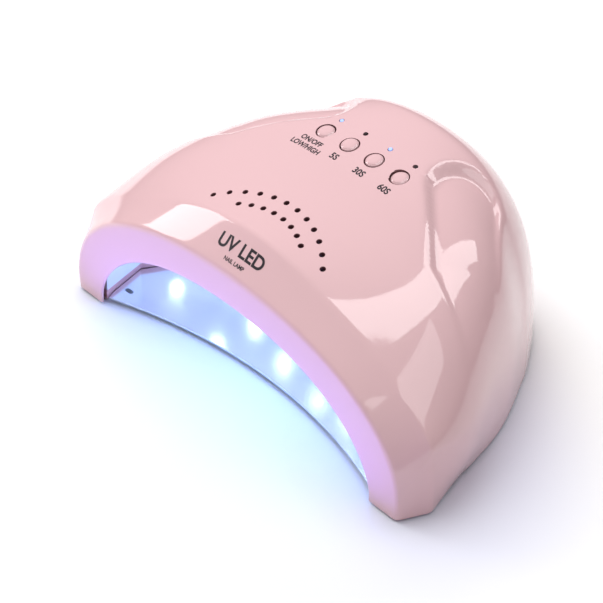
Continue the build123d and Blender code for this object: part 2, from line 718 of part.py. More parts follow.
for name, place in BUTTONS:
    top = BUTTON_PROUD - crown_drop(place)
    flange_top = KEY_FLANGE_TOP - crown_drop(place)
    middle = panel().from_local_coords((SWITCH_PITCH * place, 0, 0))
    along = Plane(middle, x_dir=(1, 0, 0), z_dir=panel().z_dir)
    upright = Plane(along.origin, x_dir=along.x_dir, z_dir=-along.y_dir)
    with BuildPart() as button:
        with BuildSketch(upright):
            with BuildLine():
                shoulder = top - BUTTON_CROWN
                flange_low = flange_top - KEY_FLANGE_THICK
                Polyline((0, top), (0, STEM_END), (STEM_RADIUS, STEM_END), (STEM_RADIUS, flange_low),
                         (KEY_FLANGE_RADIUS, flange_low), (KEY_FLANGE_RADIUS, flange_top),
                         (BUTTON_RADIUS, flange_top), (BUTTON_RADIUS, shoulder - BUTTON_EDGE))
                rim = BUTTON_RADIUS - BUTTON_EDGE
                RadiusArc((BUTTON_RADIUS, shoulder - BUTTON_EDGE), (rim, shoulder), -BUTTON_EDGE)
                Bezier((rim, shoulder), (BUTTON_RADIUS / 2, top), (0, top))
            make_face()
        revolve(axis=Axis(along.origin, along.z_dir))
    finish(button, f"button_{name}")
    with BuildPart() as plunger:
        with BuildSketch(panel(STEM_END)):
            with Locations((SWITCH_PITCH * place, 0)):
                Circle(PLUNGER_RADIUS)
        extrude(amount=PLUNGER_END - STEM_END)
    finish(plunger, f"switch_plunger_{name}")

with BuildPart() as light_pipes:
    for _, place in BUTTONS:
        with BuildSketch(panel(PIPE_END)):
            with Locations((SWITCH_PITCH * place, PIPE_OFFSET)):
                Circle(PIPE_RADIUS)
        extrude(amount=PIPE_TOP - crown_drop(place) - PIPE_END)
finish(light_pipes, "light_pipes")

with BuildPart() as indicator_leds:
    with BuildSketch(panel(BOARD_TOP)):
        with Locations([(SWITCH_PITCH * place, PIPE_OFFSET) for _, place in BUTTONS]):
            Rectangle(*INDICATOR_LED[:2])
    extrude(amount=INDICATOR_LED[2])
finish(indicator_leds, "indicator_leds")

with BuildPart() as board_chips:
    with BuildSketch(panel(BOARD_TOP - BOARD_THICK)):
        for x, y, wide, deep in CHIPS:
            with Locations((x, y)):
                Rectangle(wide, deep)
    extrude(amount=-CHIP_TALL)
    with BuildSketch(panel(BOARD_TOP - BOARD_THICK)):
        with Locations(CAPACITORS):
            Circle(CAPACITOR_RADIUS)
    extrude(amount=-CAPACITOR_TALL)
    with BuildSketch(panel(BOARD_TOP - BOARD_THICK)):
        with GridLocations(*RESISTOR_PITCH, 3, 2):
            Rectangle(*RESISTOR[:2])
    extrude(amount=-RESISTOR[2])
finish(board_chips, "board_chips")


# ---- power inlet ----
with BuildPart() as jack_body:
    with BuildSketch(at_depth(BACK_DEPTH - JACK_RECESS)):
        with Locations((0, JACK_HEIGHT)):
            Circle(JACK_FLANGE)
    extrude(amount=-JACK_FLANGE_THICK)
    with BuildSketch(at_depth(BACK_DEPTH - JACK_RECESS)):
        with Locations((0, JACK_HEIGHT)):
            Circle(JACK_RADIUS)
    extrude(amount=JACK_LONG)
    with BuildSketch(at_depth(BACK_DEPTH)):
        with Locations((0, JACK_HEIGHT)):
            Circle(JACK_BORE)
    extrude(amount=JACK_BORE_DEEP, mode=Mode.SUBTRACT)
finish(jack_body, "jack_body")

with BuildPart() as jack_nut:
    with BuildSketch(at_depth(BACK_DEPTH - WALL - PAD_THICK)):
        with Locations((0, JACK_HEIGHT)):
            RegularPolygon(NUT_RADIUS, 6)
            Circle(JACK_RADIUS + 0.05, mode=Mode.SUBTRACT)
    extrude(amount=NUT_THICK)
finish(jack_nut, "jack_nut")

with BuildPart() as jack_contacts:
    with BuildSketch(at_depth(BACK_DEPTH - JACK_BORE_DEEP)):
        with Locations((0, JACK_HEIGHT)):
            Circle(JACK_PIN)
    extrude(amount=-JACK_BORE_DEEP + 1.6)
    with BuildSketch(at_depth(BACK_DEPTH - JACK_RECESS - JACK_LONG)):
        with Locations((0, JACK_HEIGHT + CONTACT_OFFSET), (0, JACK_HEIGHT - CONTACT_OFFSET)):
            Rectangle(*CONTACT[:2])
    extrude(amount=CONTACT[2])
finish(jack_contacts, "jack_contacts")


# ---- screws from below and through the flange ----
with BuildPart() as shell_screws:
    with BuildSketch(Plane.XY.offset(RING_LOW + HEAD_FIT)):
        with Locations(mirrored(SHELL_SCREWS)):
            Circle(SHELL_HEAD_RADIUS)
    extrude(amount=HEAD_TALL)
    with BuildSketch(Plane.XY.offset(RING_LOW + HEAD_FIT + HEAD_TALL)):
        with Locations(mirrored(SHELL_SCREWS)):
            Circle(SCREW_RADIUS)
    extrude(amount=9)
finish(shell_screws, "shell_screws")

with BuildPart() as hood_screws:
    with BuildSketch(Plane.XY.offset(RING_TOP + FLANGE_THICK)):
        with Locations(mirrored(HOOD_SCREWS)):
            Circle(SMALL_HEAD_RADIUS)
    extrude(amount=HEAD_TALL)
    with BuildSketch(Plane.XY.offset(RING_TOP + FLANGE_THICK)):
        with Locations(mirrored(HOOD_SCREWS)):
            Circle(SCREW_RADIUS)
    extrude(amount=-3)
finish(hood_screws, "hood_screws")


# ---- leads and their connectors, inside the cover ----
PANEL_BACK = panel(BOARD_TOP - BOARD_THICK)
CEILING_BACK = ceiling_plane().offset(BOARD_THICK)
LAMP_PLUG = (-24.0, 2.0)
POWER_PLUG = (0.0, 10.5)
FACET_PLUG = 12.0
CEILING_PLUGS = (-18.0, -6.0, 18.0)


def place_on(plane, x, y, height):
    """The point that stands a height above a place on a plane."""
    return plane.from_local_coords((x, y, height))


def lead(name, points, radii):
    """A round lead along straight runs joined by arcs."""
    with BuildPart() as wire:
        with BuildLine() as route:
            FilletPolyline(*points, radius=radii)
        with BuildSketch(Plane(route.wire() @ 0, z_dir=route.wire() % 0)):
            Circle(LEAD_RADIUS)
        sweep()
    finish(wire, name)


with BuildPart() as connectors:
    long, deep, tall = CONNECTOR
    with BuildSketch(PANEL_BACK):
        with Locations(LAMP_PLUG, POWER_PLUG):
            Rectangle(long, deep)
    extrude(amount=-tall)
    with BuildSketch(CEILING_BACK):
        with Locations([(x, back(CONNECTOR_DEPTH)) for x in CEILING_PLUGS]):
            Rectangle(long, deep)
    extrude(amount=tall)
    for side in SIDES:
        with BuildSketch(facet_plane(side).offset(BOARD_THICK)):
            with Locations((FACET_PLUG, side * back(CONNECTOR_DEPTH))):
                Rectangle(long, deep)
        extrude(amount=tall)
finish(connectors, "connectors")

plug_tall = CONNECTOR[2]
plug_y = back(CONNECTOR_DEPTH)
tail_y = back(BACK_DEPTH - JACK_RECESS - JACK_LONG - 3)
power_end = place_on(PANEL_BACK, *POWER_PLUG, -plug_tall)
lead("power_lead",
     [(0, tail_y, JACK_HEIGHT), (0, tail_y - LEAD_STRAIGHT, JACK_HEIGHT), (0, tail_y - 9, 58),
      place_on(PANEL_BACK, *POWER_PLUG, -plug_tall - 8), power_end],
     [LEAD_BEND, 8, 4])
lead("lamp_lead",
     [place_on(PANEL_BACK, *LAMP_PLUG, -plug_tall),
      place_on(PANEL_BACK, *LAMP_PLUG, -plug_tall - LEAD_STRAIGHT),
      place_on(CEILING_BACK, CEILING_PLUGS[1], plug_y, plug_tall + LEAD_STRAIGHT),
      place_on(CEILING_BACK, CEILING_PLUGS[1], plug_y, plug_tall)],
     [LEAD_BEND, LEAD_BEND])
for side, hand in zip(SIDES, ("left", "right")):
    facet_top = facet_plane(side)
    wall = thumb_plane(side)
    plug = (FACET_PLUG, side * plug_y)
    lead(f"facet_lead_{hand}",
         [place_on(CEILING_BACK, side * CEILING_PLUGS[2], plug_y, plug_tall),
          place_on(CEILING_BACK, side * CEILING_PLUGS[2], plug_y, plug_tall + LEAD_STRAIGHT),
          place_on(facet_top, *plug, BOARD_THICK + plug_tall + LEAD_STRAIGHT),
          place_on(facet_top, *plug, BOARD_THICK + plug_tall)],
         [LEAD_BEND, LEAD_BEND])
    lead(f"thumb_lead_{hand}",
         [place_on(facet_top, 45, side * back(40), BOARD_THICK), place_on(facet_top, 45, side * back(40), 9),
          place_on(wall, 15, side * 19, 8), place_on(wall, 15, side * 19, BOARD_THICK)],
         [THUMB_LEAD_BEND, THUMB_LEAD_BEND])
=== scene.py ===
import json
from math import cos, pi, radians, sin, sqrt

import bmesh
import bpy
import numpy as np
from mathutils import Matrix, Quaternion, Vector
from mathutils.bvhtree import BVHTree


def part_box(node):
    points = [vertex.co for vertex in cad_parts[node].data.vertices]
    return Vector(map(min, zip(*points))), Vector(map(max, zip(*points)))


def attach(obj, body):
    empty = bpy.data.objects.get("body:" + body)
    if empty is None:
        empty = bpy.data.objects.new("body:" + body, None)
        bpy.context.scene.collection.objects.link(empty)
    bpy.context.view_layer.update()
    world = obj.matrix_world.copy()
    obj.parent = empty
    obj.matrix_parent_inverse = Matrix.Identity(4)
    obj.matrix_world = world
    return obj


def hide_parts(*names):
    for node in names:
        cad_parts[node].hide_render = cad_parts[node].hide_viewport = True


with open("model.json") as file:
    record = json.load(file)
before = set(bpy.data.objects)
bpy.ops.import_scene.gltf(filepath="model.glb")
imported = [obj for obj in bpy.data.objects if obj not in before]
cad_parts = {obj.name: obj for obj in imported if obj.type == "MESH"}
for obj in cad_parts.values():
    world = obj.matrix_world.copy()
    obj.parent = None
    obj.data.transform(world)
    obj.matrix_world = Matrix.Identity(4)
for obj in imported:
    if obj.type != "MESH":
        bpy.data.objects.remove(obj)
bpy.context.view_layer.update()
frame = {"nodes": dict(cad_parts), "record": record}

bl_info = {
    "name": "Nail Lamp Builder",
    "version": (1, 0, 0),
    "blender": (4, 5, 0),
    "location": "View3D > Sidebar > Nail Lamp",
    "description": "Builds a gloss arch-shaped nail lamp with its cover, finishes, legends and studio",
    "category": "Object",
}

MM = 0.001

# ---- the cover's form, in millimetres; depth is measured back from the front feet ----
DEPTH_TO_CENTRE = 69.1
STAND = 1.2
SKIRT = 5.2
FRONT_ARCH = (-2.0, 104.2, 104.5, 6.0, 62.4, 0.575, 0.644)
ARCHES = (
    (12.0, 109.4, 109.6, 31.0, 77.5, 0.43, 0.24),
    (23.0, 105.0, 109.2, 29.5, 78.6, 0.52, 0.46),
    (35.0, 100.4, 106.6, 27.6, 81.2, 0.60, 0.64),
    (50.0, 95.8, 99.9, 26.0, 85.2, 0.62, 0.79),
    (65.0, 90.5, 91.8, 22.0, 89.9, 0.69, 0.84),
    (82.0, 81.6, 82.2, 16.7, 93.2, 0.76, 0.75),
    (100.0, 70.1, 70.4, 11.1, 94.8, 0.74, 0.65),
)
ROUNDING_DEPTH = 100.0
POLE_DEPTH = 141.6
LAST_STEP = 0.966
ACROSS_POWER = 1.76
UP_POWER = 1.72
SIDE_TAPER = 0.6
OPENING = (87.5, 3.0, 47.3, 0.80, 0.265)   # half-width, spring, top, crown fullness, shoulder fullness

# Grip scoops: a teardrop seen from above, from the rear top to the front shoulder.
SCOOP_TOP = (43.4, 86.4)
SCOOP_TIP = (99.5, 40.6)
SCOOP_WIDTHS = ((0.0, 15.0), (37.0, 15.0), (50.0, 9.5), (61.0, 5.0), (70.0, 2.0), (75.0, 0.1))

# Button panel and vents.
PANEL_TILT = 13.0
PANEL_RISE = 92.4
BUTTON_DEPTH = 69.9
SWITCH_PITCH = 15.35
BUTTON_PLACES = (-1.5, -0.5, 0.5, 1.5)
PIPE_OFFSET = 8.9
VENT_ARCS = ((51.8, -19.3, 7.65, 12), (41.3, -15.9, 8.15, 8))   # radius, centre depth, step, count
BACK_DEPTH = ROUNDING_DEPTH + (POLE_DEPTH - ROUNDING_DEPTH) * LAST_STEP
JACK_HEIGHT = 14.0

CAMERA_AIM = Vector((-0.0027, -0.0294, 0.0292))
CAMERA_AZIMUTH = radians(49.8)
CAMERA_ELEVATION = radians(36.0)
CAMERA_DISTANCE = 1.22
CAMERA_LENS = 174.08


# ---- sizes and colours a user would change ----
def length(name, description, millimetres):
    return bpy.props.FloatProperty(name=name, description=description, default=millimetres * MM,
                                   min=0.0, unit="LENGTH", subtype="DISTANCE", precision=5)


def colour(name, description, rgb):
    return bpy.props.FloatVectorProperty(name=name, description=description, default=rgb, size=3,
                                         min=0.0, max=1.0, subtype="COLOR")


def share(name, description, value):
    return bpy.props.FloatProperty(name=name, description=description, default=value,
                                   min=0.0, max=1.0, subtype="FACTOR")


class LampCoverSettings(bpy.types.PropertyGroup):
    wall: length("Wall", "Thickness of the cover", 2.4)
    front_edge: length("Front edge", "Size of the rounding between the front wall and the band", 2.2)
    lip_edge: length("Opening edge", "Size of the rounding round the hand opening", 0.9)
    crease: length("Crease", "Size of the rounding between the band and the dome", 1.8)
    scoop_depth: length("Scoop depth", "How far the grip scoops are sunk", 4.2)
    scoop_step: length("Scoop step", "Width of the steep front edge of a scoop", 4.5)
    scoop_fade: length("Scoop fade", "Width of the soft rear edge of a scoop", 9.0)
    vent_hole: length("Vent hole", "Radius of a vent hole", 1.1)
    button_hole: length("Button hole", "Radius of a button's hole", 4.3)
    button_cap: length("Button cap", "Radius of a button's cap", 3.85)
    button_crown: length("Button crown", "How far a cap bulges above its rounded edge", 0.65)
    pipe_hole: length("Indicator hole", "Radius of an indicator's hole", 0.95)
    pipe: length("Indicator", "Radius of an indicator's clear rod", 0.86)
    flare: length("Flare", "How far the rim of a hole is rounded off", 0.22)


class LampFinishSettings(bpy.types.PropertyGroup):
    cover_colour: colour("Cover", "Colour of the gloss cover", (0.8, 0.515, 0.54))
    base_colour: colour("Base", "Colour of the satin ring under the cover", (0.7, 0.4, 0.42))
    ink_colour: colour("Ink", "Colour of the printed legends", (0.022, 0.014, 0.02))
    light_colour: colour("LED light", "Colour of the LEDs' light", (0.24, 0.42, 1.0))
    spill_colour: colour("Violet spill", "Colour of the glow on the front wall", (0.25, 0.17, 1.0))
    pipe_colour: colour("Indicator", "Colour of a lit indicator", (0.36, 0.5, 1.0))
    cover_roughness: share("Cover roughness", "Roughness of the gloss cover", 0.05)
    marks: share("Handling marks", "How strongly fingers have dulled the gloss", 0.07)


class LampStageSettings(bpy.types.PropertyGroup):
    floor_colour: colour("Floor", "Colour of the floor", (0.985, 0.985, 0.99))
    sky: bpy.props.FloatProperty(name="Ceiling light", description="Strength of the room's light overhead",
                                 default=0.75, min=0.0)
    horizon: bpy.props.FloatProperty(name="Wall light", description="Strength of the room's light at eye level",
                                     default=0.08, min=0.0)
    long_box: bpy.props.FloatProperty(name="Long softbox", description="Power of the long softbox overhead",
                                      default=15.0, min=0.0, unit="POWER")
    square_box: bpy.props.FloatProperty(name="Square softbox", description="Power of the softbox to the right",
                                        default=6.0, min=0.0, unit="POWER")
    left_box: bpy.props.FloatProperty(name="Left softbox", description="Power of the small softbox to the left",
                                      default=3.0, min=0.0, unit="POWER")
    fill: bpy.props.FloatProperty(name="Fill", description="Power of the broad fill from the upper left",
                                  default=37.0, min=0.0, unit="POWER")
    spill: bpy.props.FloatProperty(name="Violet spill", description="Power of the glow on the front wall",
                                   default=0.15, min=0.0, unit="POWER")
    led: bpy.props.FloatProperty(name="LED light", description="Power of the light in the chamber", default=0.11,
                                 min=0.0, unit="POWER")


# ---- node helpers ----
def put(tree, kind, inputs=None, **settings):
    """Add a node, set its options, and set or link its inputs; a name means the socket that is in use."""
    node = tree.nodes.new(kind)
    for name, value in settings.items():
        setattr(node, name, value)
    for key, value in (inputs or {}).items():
        socket = node.inputs[key] if isinstance(key, int) else \
            next(s for s in node.inputs if s.name == key and s.enabled)
        if isinstance(value, bpy.types.NodeSocket):
            tree.links.new(value, socket)
        else:
            socket.default_value = value
    return node


def new_tree(name, kind, inputs, outputs):
    """A node tree with named inputs and outputs; an input is a name, a socket kind and a default."""
    tree = bpy.data.node_groups.new(name, kind)
    for label, socket, default in inputs:
        item = tree.interface.new_socket(name=label, in_out="INPUT", socket_type=socket)
        if default is not None:
            item.default_value = default
    for label, socket in outputs:
        tree.interface.new_socket(name=label, in_out="OUTPUT", socket_type=socket)
    return tree, tree.nodes.new("NodeGroupInput").outputs, tree.nodes.new("NodeGroupOutput").inputs


def grown(name, tree, values, mesh=None):
    """The plain mesh that a geometry tree makes with these input values."""
    seed = bpy.data.objects.new(name + "_seed", mesh or bpy.data.meshes.new(name + "_seed"))
    bpy.context.collection.objects.link(seed)
    modifier = seed.modifiers.new("Make", "NODES")
    modifier.node_group = tree
    for item in tree.interface.items_tree:
        if item.in_out == "INPUT" and item.name in values:
            modifier[item.identifier] = values[item.name]
    depsgraph = bpy.context.evaluated_depsgraph_get()
    result = bpy.data.meshes.new_from_object(seed.evaluated_get(depsgraph), depsgraph=depsgraph)
    result.name = name
    bpy.data.objects.remove(seed)
    return result


def placed(name, mesh, body="lamp", smooth=None):
    """Link a finished mesh as a piece that rides on a body."""
    piece = bpy.data.objects.new(name, mesh)
    bpy.context.collection.objects.link(piece)
    if smooth is not None:
        mesh.shade_smooth()
        mesh.set_sharp_from_angle(angle=radians(smooth))
    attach(piece, body)
    return piece


# ---- the cover's surface ----
def closing_arch(step):
    """An arch of the rounded back end, step being 0 at its start and 1 at the pole."""
    _, foot, waist, waist_z, crown, crown_pull, shoulder_pull = ARCHES[-1]
    run = (POLE_DEPTH - ROUNDING_DEPTH) * step
    run_in = SIDE_TAPER * run * (1 - step)
    across = sqrt(1 - step ** ACROSS_POWER)
    up = sqrt(1 - step ** UP_POWER)
    return (ROUNDING_DEPTH + run, (foot - run_in) * across, (waist - run_in) * across,
            waist_z * up, crown * up, crown_pull, shoulder_pull)


def spline_slopes(depths, values):
    """Slopes of the smooth curve through the arches, free in front and clamped at the rounding."""
    n = len(depths)
    gaps = np.diff(depths)
    rises = np.diff(values, axis=0) / gaps[:, None]
    matrix, right = np.zeros((n, n)), np.zeros_like(values)
    matrix[0, :2] = (2, 1)
    right[0] = 3 * rises[0]
    for i in range(1, n - 1):
        matrix[i, i - 1:i + 2] = (gaps[i], 2 * (gaps[i - 1] + gaps[i]), gaps[i - 1])
        right[i] = 3 * (gaps[i] * rises[i - 1] + gaps[i - 1] * rises[i])
    matrix[-1, -1] = 1
    start, soon = np.array(closing_arch(0.0)), np.array(closing_arch(0.01))
    right[-1] = (soon - start)[1:] / (soon - start)[0]
    return np.linalg.solve(matrix, right)


STATIONS = np.array(ARCHES)
SLOPES = spline_slopes(STATIONS[:, 0], STATIONS[:, 1:])


def arch_at(depth):
    """The arch's seven values at a depth in front of the rounding."""
    i = min(max(int(np.searchsorted(STATIONS[:, 0], depth)) - 1, 0), len(STATIONS) - 2)
    gap = STATIONS[i + 1, 0] - STATIONS[i, 0]
    t = (depth - STATIONS[i, 0]) / gap
    low, high = STATIONS[i, 1:], STATIONS[i + 1, 1:]
    values = ((2 * t ** 3 - 3 * t ** 2 + 1) * low + (t ** 3 - 2 * t ** 2 + t) * gap * SLOPES[i]
              + (3 * t ** 2 - 2 * t ** 3) * high + (t ** 3 - t ** 2) * gap * SLOPES[i + 1])
    return (depth, *values)


def half_arch(arch, low, high):
    """Points of the right half of an arch from its foot to its crown: low below the waist, high above."""
    depth, foot, waist, waist_z, crown, crown_pull, shoulder_pull = arch
    top, spring, low_z = crown + STAND, waist_z + STAND, STAND - SKIRT
    low_x = waist - (waist - foot) * ((spring - low_z) / (spring - STAND)) ** 2
    z = np.linspace(STAND, spring, low, endpoint=False)
    t = (z - low_z) / (spring - low_z)
    skirt = np.stack([waist - (waist - low_x) * (1 - t) ** 2, np.full(low, depth), z], 1)
    shoulder = spring + shoulder_pull * (top - spring)
    t = np.linspace(0, 1, high)[:, None]
    upper = bezier(t, (waist, spring), (waist, shoulder), (crown_pull * waist, top), (0, top))
    return np.vstack([skirt, np.stack([upper[:, 0], np.full(high, depth), upper[:, 1]], 1)])


def bezier(t, a, b, c, d):
    a, b, c, d = (np.array(p, float) for p in (a, b, c, d))
    return (1 - t) ** 3 * a + 3 * t * (1 - t) ** 2 * b + 3 * t ** 2 * (1 - t) * c + t ** 3 * d


def opening_half(low, high):
    """The hand opening's outline, with as many points as half an arch."""
    half, spring, top, crown, shoulder = OPENING
    spring, top = spring + STAND, top + STAND
    z = np.linspace(STAND, spring, low, endpoint=False)
    side = np.stack([np.full(low, half), z], 1)
    middle = spring + shoulder * (top - spring)
    upper = bezier(np.linspace(0, 1, high)[:, None], (half, spring), (half, middle), (crown * half, top), (0, top))
    flat = np.vstack([side, upper])
    return np.stack([flat[:, 0], np.full(len(flat), FRONT_ARCH[0]), flat[:, 1]], 1)


def rounded(before, corner, after, reach, count):
    """Rows that turn a corner between two rows of points, reaching this far to each side of it."""
    start = corner + unit(before - corner) * reach
    end = corner + unit(after - corner) * reach
    return [(1 - t) ** 2 * start + 2 * t * (1 - t) * corner + t ** 2 * end for t in np.linspace(0, 1, count)]


def unit(rows):
    return rows / np.maximum(np.linalg.norm(rows, axis=1, keepdims=True), 1e-9)


def mixed(first, second, shares):
    return [first * (1 - t) + second * t for t in shares]


def scoop_pull(points, step, fade):
    """How strongly each point belongs to a grip scoop, from 0 outside to 1 in its floor."""
    run = np.array(SCOOP_TIP) - np.array(SCOOP_TOP)
    along = run / np.linalg.norm(run)
    x, depth = np.abs(points[:, 0]) - SCOOP_TOP[0], points[:, 1] - SCOOP_TOP[1]
    t = x * along[0] + depth * along[1]
    n = -x * along[1] + depth * along[0]          # positive towards the rear side
    widths = np.array(SCOOP_WIDTHS)
    half = np.interp(t, widths[:, 0], widths[:, 1])
    inside = np.where(t < 0, half - np.hypot(t, n), half - np.abs(n))
    rear = np.clip(n / half, 0, 1) * np.clip((t + 5) / 20, 0, 1)
    width = np.minimum(step + (fade - step) * rear, half * 1.2 + 0.5)
    share_in = np.clip(inside / width + 0.35, 0, 1)
    eased = share_in ** 3 * (share_in * (6 * share_in - 15) + 10)
    fading = np.clip((SCOOP_WIDTHS[-1][0] - t) / 40, 0, 1)
    return eased * fading


def cover_rows(settings):
    """Rows of points from the edge of the hand opening to the flat pad at the back."""
    low, high = 14, 76
    opening, front = opening_half(low, high), half_arch(FRONT_ARCH, low, high)
    crease = half_arch(ARCHES[0], low, high)
    crease_reach, edge = settings.crease / MM, settings.front_edge / MM
    behind = half_arch(arch_at(ARCHES[0][0] + crease_reach), low, high)
    lip = settings.lip_edge / MM
    inward = opening + np.array([0, lip * 2, 0])
    rows = rounded(inward, opening, front, lip, 5)
    rows += mixed(rows[-1], front + unit(opening - front) * edge, np.linspace(0, 1, 9)[1:-1])
    rows += rounded(opening, front, crease, edge, 7)
    start = crease + unit(front - crease) * crease_reach
    rows += mixed(rows[-1], start, np.linspace(0, 1, 10)[1:-1])
    end = behind
    rows += [(1 - t) ** 2 * start + 2 * t * (1 - t) * crease + t ** 2 * end for t in np.linspace(0, 1, 9)]
    rows += [half_arch(arch_at(d), low, high) for d in
             np.linspace(ARCHES[0][0] + crease_reach, ROUNDING_DEPTH, 66)[1:]]
    steps = np.sin(np.linspace(0, 1, 46)[1:] * np.arcsin(LAST_STEP))
    rows += [half_arch(closing_arch(s), low, high) for s in steps]
    rim = rows[-1]
    foot = np.array([0, BACK_DEPTH, STAND])
    pad_rows = mixed(rim, foot + (rim - foot) * [0, 1, 0], np.linspace(0, 1, 11)[1:-1])
    return rows + pad_rows


def cover_sheet(settings):
    """The cover's outer skin as one open sheet, from the hand opening to the pad at the back."""
    rows = cover_rows(settings)
    full = [np.vstack([row * [-1, 1, 1], row[::-1][1:]]) for row in rows]
    count = len(full[0])
    points = np.vstack(full)
    pull = scoop_pull(points, settings.scoop_step / MM, settings.scoop_fade / MM)
    points[:, 0] += np.sign(points[:, 0]) * pull * settings.scoop_depth / MM * 0.36
    points[:, 2] -= pull * settings.scoop_depth / MM
    points[:, 2] = np.maximum(points[:, 2], STAND)
    points[:, 1] -= DEPTH_TO_CENTRE
    quads = [(i * count + j, i * count + j + 1, (i + 1) * count + j + 1, (i + 1) * count + j)
             for i in range(len(full) - 1) for j in range(count - 1)]
    first = (len(full) - 1) * count
    ring = list(range(first, first + count))
    quads.append(ring)
    mesh = bpy.data.meshes.new("cover_sheet")
    mesh.from_pydata((points * MM).tolist(), [], quads)
    shape = bmesh.new()
    shape.from_mesh(mesh)
    bmesh.ops.remove_doubles(shape, verts=shape.verts, dist=1e-5)
    bmesh.ops.recalc_face_normals(shape, faces=shape.faces)
    top = max(shape.faces, key=lambda face: face.calc_center_median().z)
    if top.normal.z < 0:
        bmesh.ops.reverse_faces(shape, faces=shape.faces)
    shape.to_mesh(mesh)
    shape.free()
    mesh.shade_smooth()
    return mesh


# ---- holes ----
def drill_tree():
    """Geometry tree: at each point of its input it drops onto the cover and makes a cutter with a flared mouth."""
    tree, given, out = new_tree(
        "Flared holes", "GeometryNodeTree",
        [("Points", "NodeSocketGeometry", None), ("Cover", "NodeSocketObject", None),
         ("Radius", "NodeSocketFloat", 0.001), ("Flare", "NodeSocketFloat", 0.0002),
         ("Reach", "NodeSocketFloat", 0.006), ("Axis", "NodeSocketVector", (0.0, 0.0, 1.0)),
         ("Follow Surface", "NodeSocketFloat", 1.0), ("Material", "NodeSocketMaterial", None)],
        [("Geometry", "NodeSocketGeometry")])
    cover = put(tree, "GeometryNodeObjectInfo", {"Object": given["Cover"]}, transform_space="RELATIVE")
    down = put(tree, "ShaderNodeVectorMath", {0: given["Axis"], 1: (-1.0, -1.0, -1.0)}, operation="MULTIPLY")
    ray = put(tree, "GeometryNodeRaycast", {"Target Geometry": cover.outputs["Geometry"],
                                            "Ray Direction": down.outputs[0], "Ray Length": 1.0})
    dropped = put(tree, "GeometryNodeSetPosition", {"Geometry": given["Points"],
                                                    "Position": ray.outputs["Hit Position"]})
    axis = put(tree, "ShaderNodeMix", {"Factor": given["Follow Surface"], "A": given["Axis"],
                                       "B": ray.outputs["Hit Normal"]}, data_type="VECTOR")
    kept = put(tree, "GeometryNodeCaptureAttribute", {"Geometry": given["Points"]})
    kept.capture_items.new("VECTOR", "Way")
    tree.links.new(axis.outputs[1], kept.inputs["Way"])
    tree.links.new(kept.outputs["Geometry"], dropped.inputs["Geometry"])
    drill = put(tree, "GeometryNodeMeshCylinder", {"Vertices": 28, "Radius": given["Radius"], "Depth": given["Reach"]})
    wide = put(tree, "ShaderNodeMath", {0: given["Flare"], 1: 2.0}, operation="MULTIPLY")
    mouth_radius = put(tree, "ShaderNodeMath", {0: given["Radius"], 1: wide.outputs[0]}, operation="ADD")
    mouth = put(tree, "GeometryNodeMeshCone", {"Vertices": 28, "Radius Bottom": given["Radius"],
                                               "Radius Top": mouth_radius.outputs[0], "Depth": wide.outputs[0]})
    low = put(tree, "ShaderNodeMath", {0: given["Flare"], 1: -1.0}, operation="MULTIPLY")
    shift = put(tree, "ShaderNodeCombineXYZ", {"Z": low.outputs[0]})
    mouth_low = put(tree, "GeometryNodeTransform", {"Geometry": mouth.outputs[0], "Translation": shift.outputs[0]})
    cutter = put(tree, "GeometryNodeJoinGeometry")
    for part in (drill, mouth_low):
        tree.links.new(part.outputs[0], cutter.inputs["Geometry"])
    turn = put(tree, "FunctionNodeAlignRotationToVector", {"Vector": kept.outputs["Way"]}, axis="Z")
    copies = put(tree, "GeometryNodeInstanceOnPoints", {"Points": dropped.outputs[0], "Instance": cutter.outputs[0],
                                                       "Rotation": turn.outputs[0]})
    real = put(tree, "GeometryNodeRealizeInstances", {"Geometry": copies.outputs[0]})
    painted = put(tree, "GeometryNodeSetMaterial", {"Geometry": real.outputs[0], "Material": given["Material"]})
    tree.links.new(painted.outputs[0], out["Geometry"])
    return tree


def points_mesh(name, points):
    mesh = bpy.data.meshes.new(name)
    mesh.from_pydata(points, [], [])
    return mesh


def vent_points():
    """Places of the vents in plan, high above the cover."""
    places = []
    for radius, centre, step, count in VENT_ARCS:
        for i in range(count):
            turn = radians(step * (i - (count - 1) / 2))
            places.append((radius * sin(turn) * MM, (centre - DEPTH_TO_CENTRE + radius * cos(turn)) * MM, 0.15))
    return places


def panel_points(offset):
    """Places over the button row, offset back along the panel, lifted along the buttons' axis."""
    tilt = radians(PANEL_TILT)
    lift = 30.0
    y = BUTTON_DEPTH - DEPTH_TO_CENTRE + offset * cos(tilt) - lift * sin(tilt)
    z = PANEL_RISE + offset * sin(tilt) + lift * cos(tilt)
    return [(place * SWITCH_PITCH * MM, y * MM, z * MM) for place in BUTTON_PLACES]


PANEL_AXIS = (0.0, -sin(radians(PANEL_TILT)), cos(radians(PANEL_TILT)))


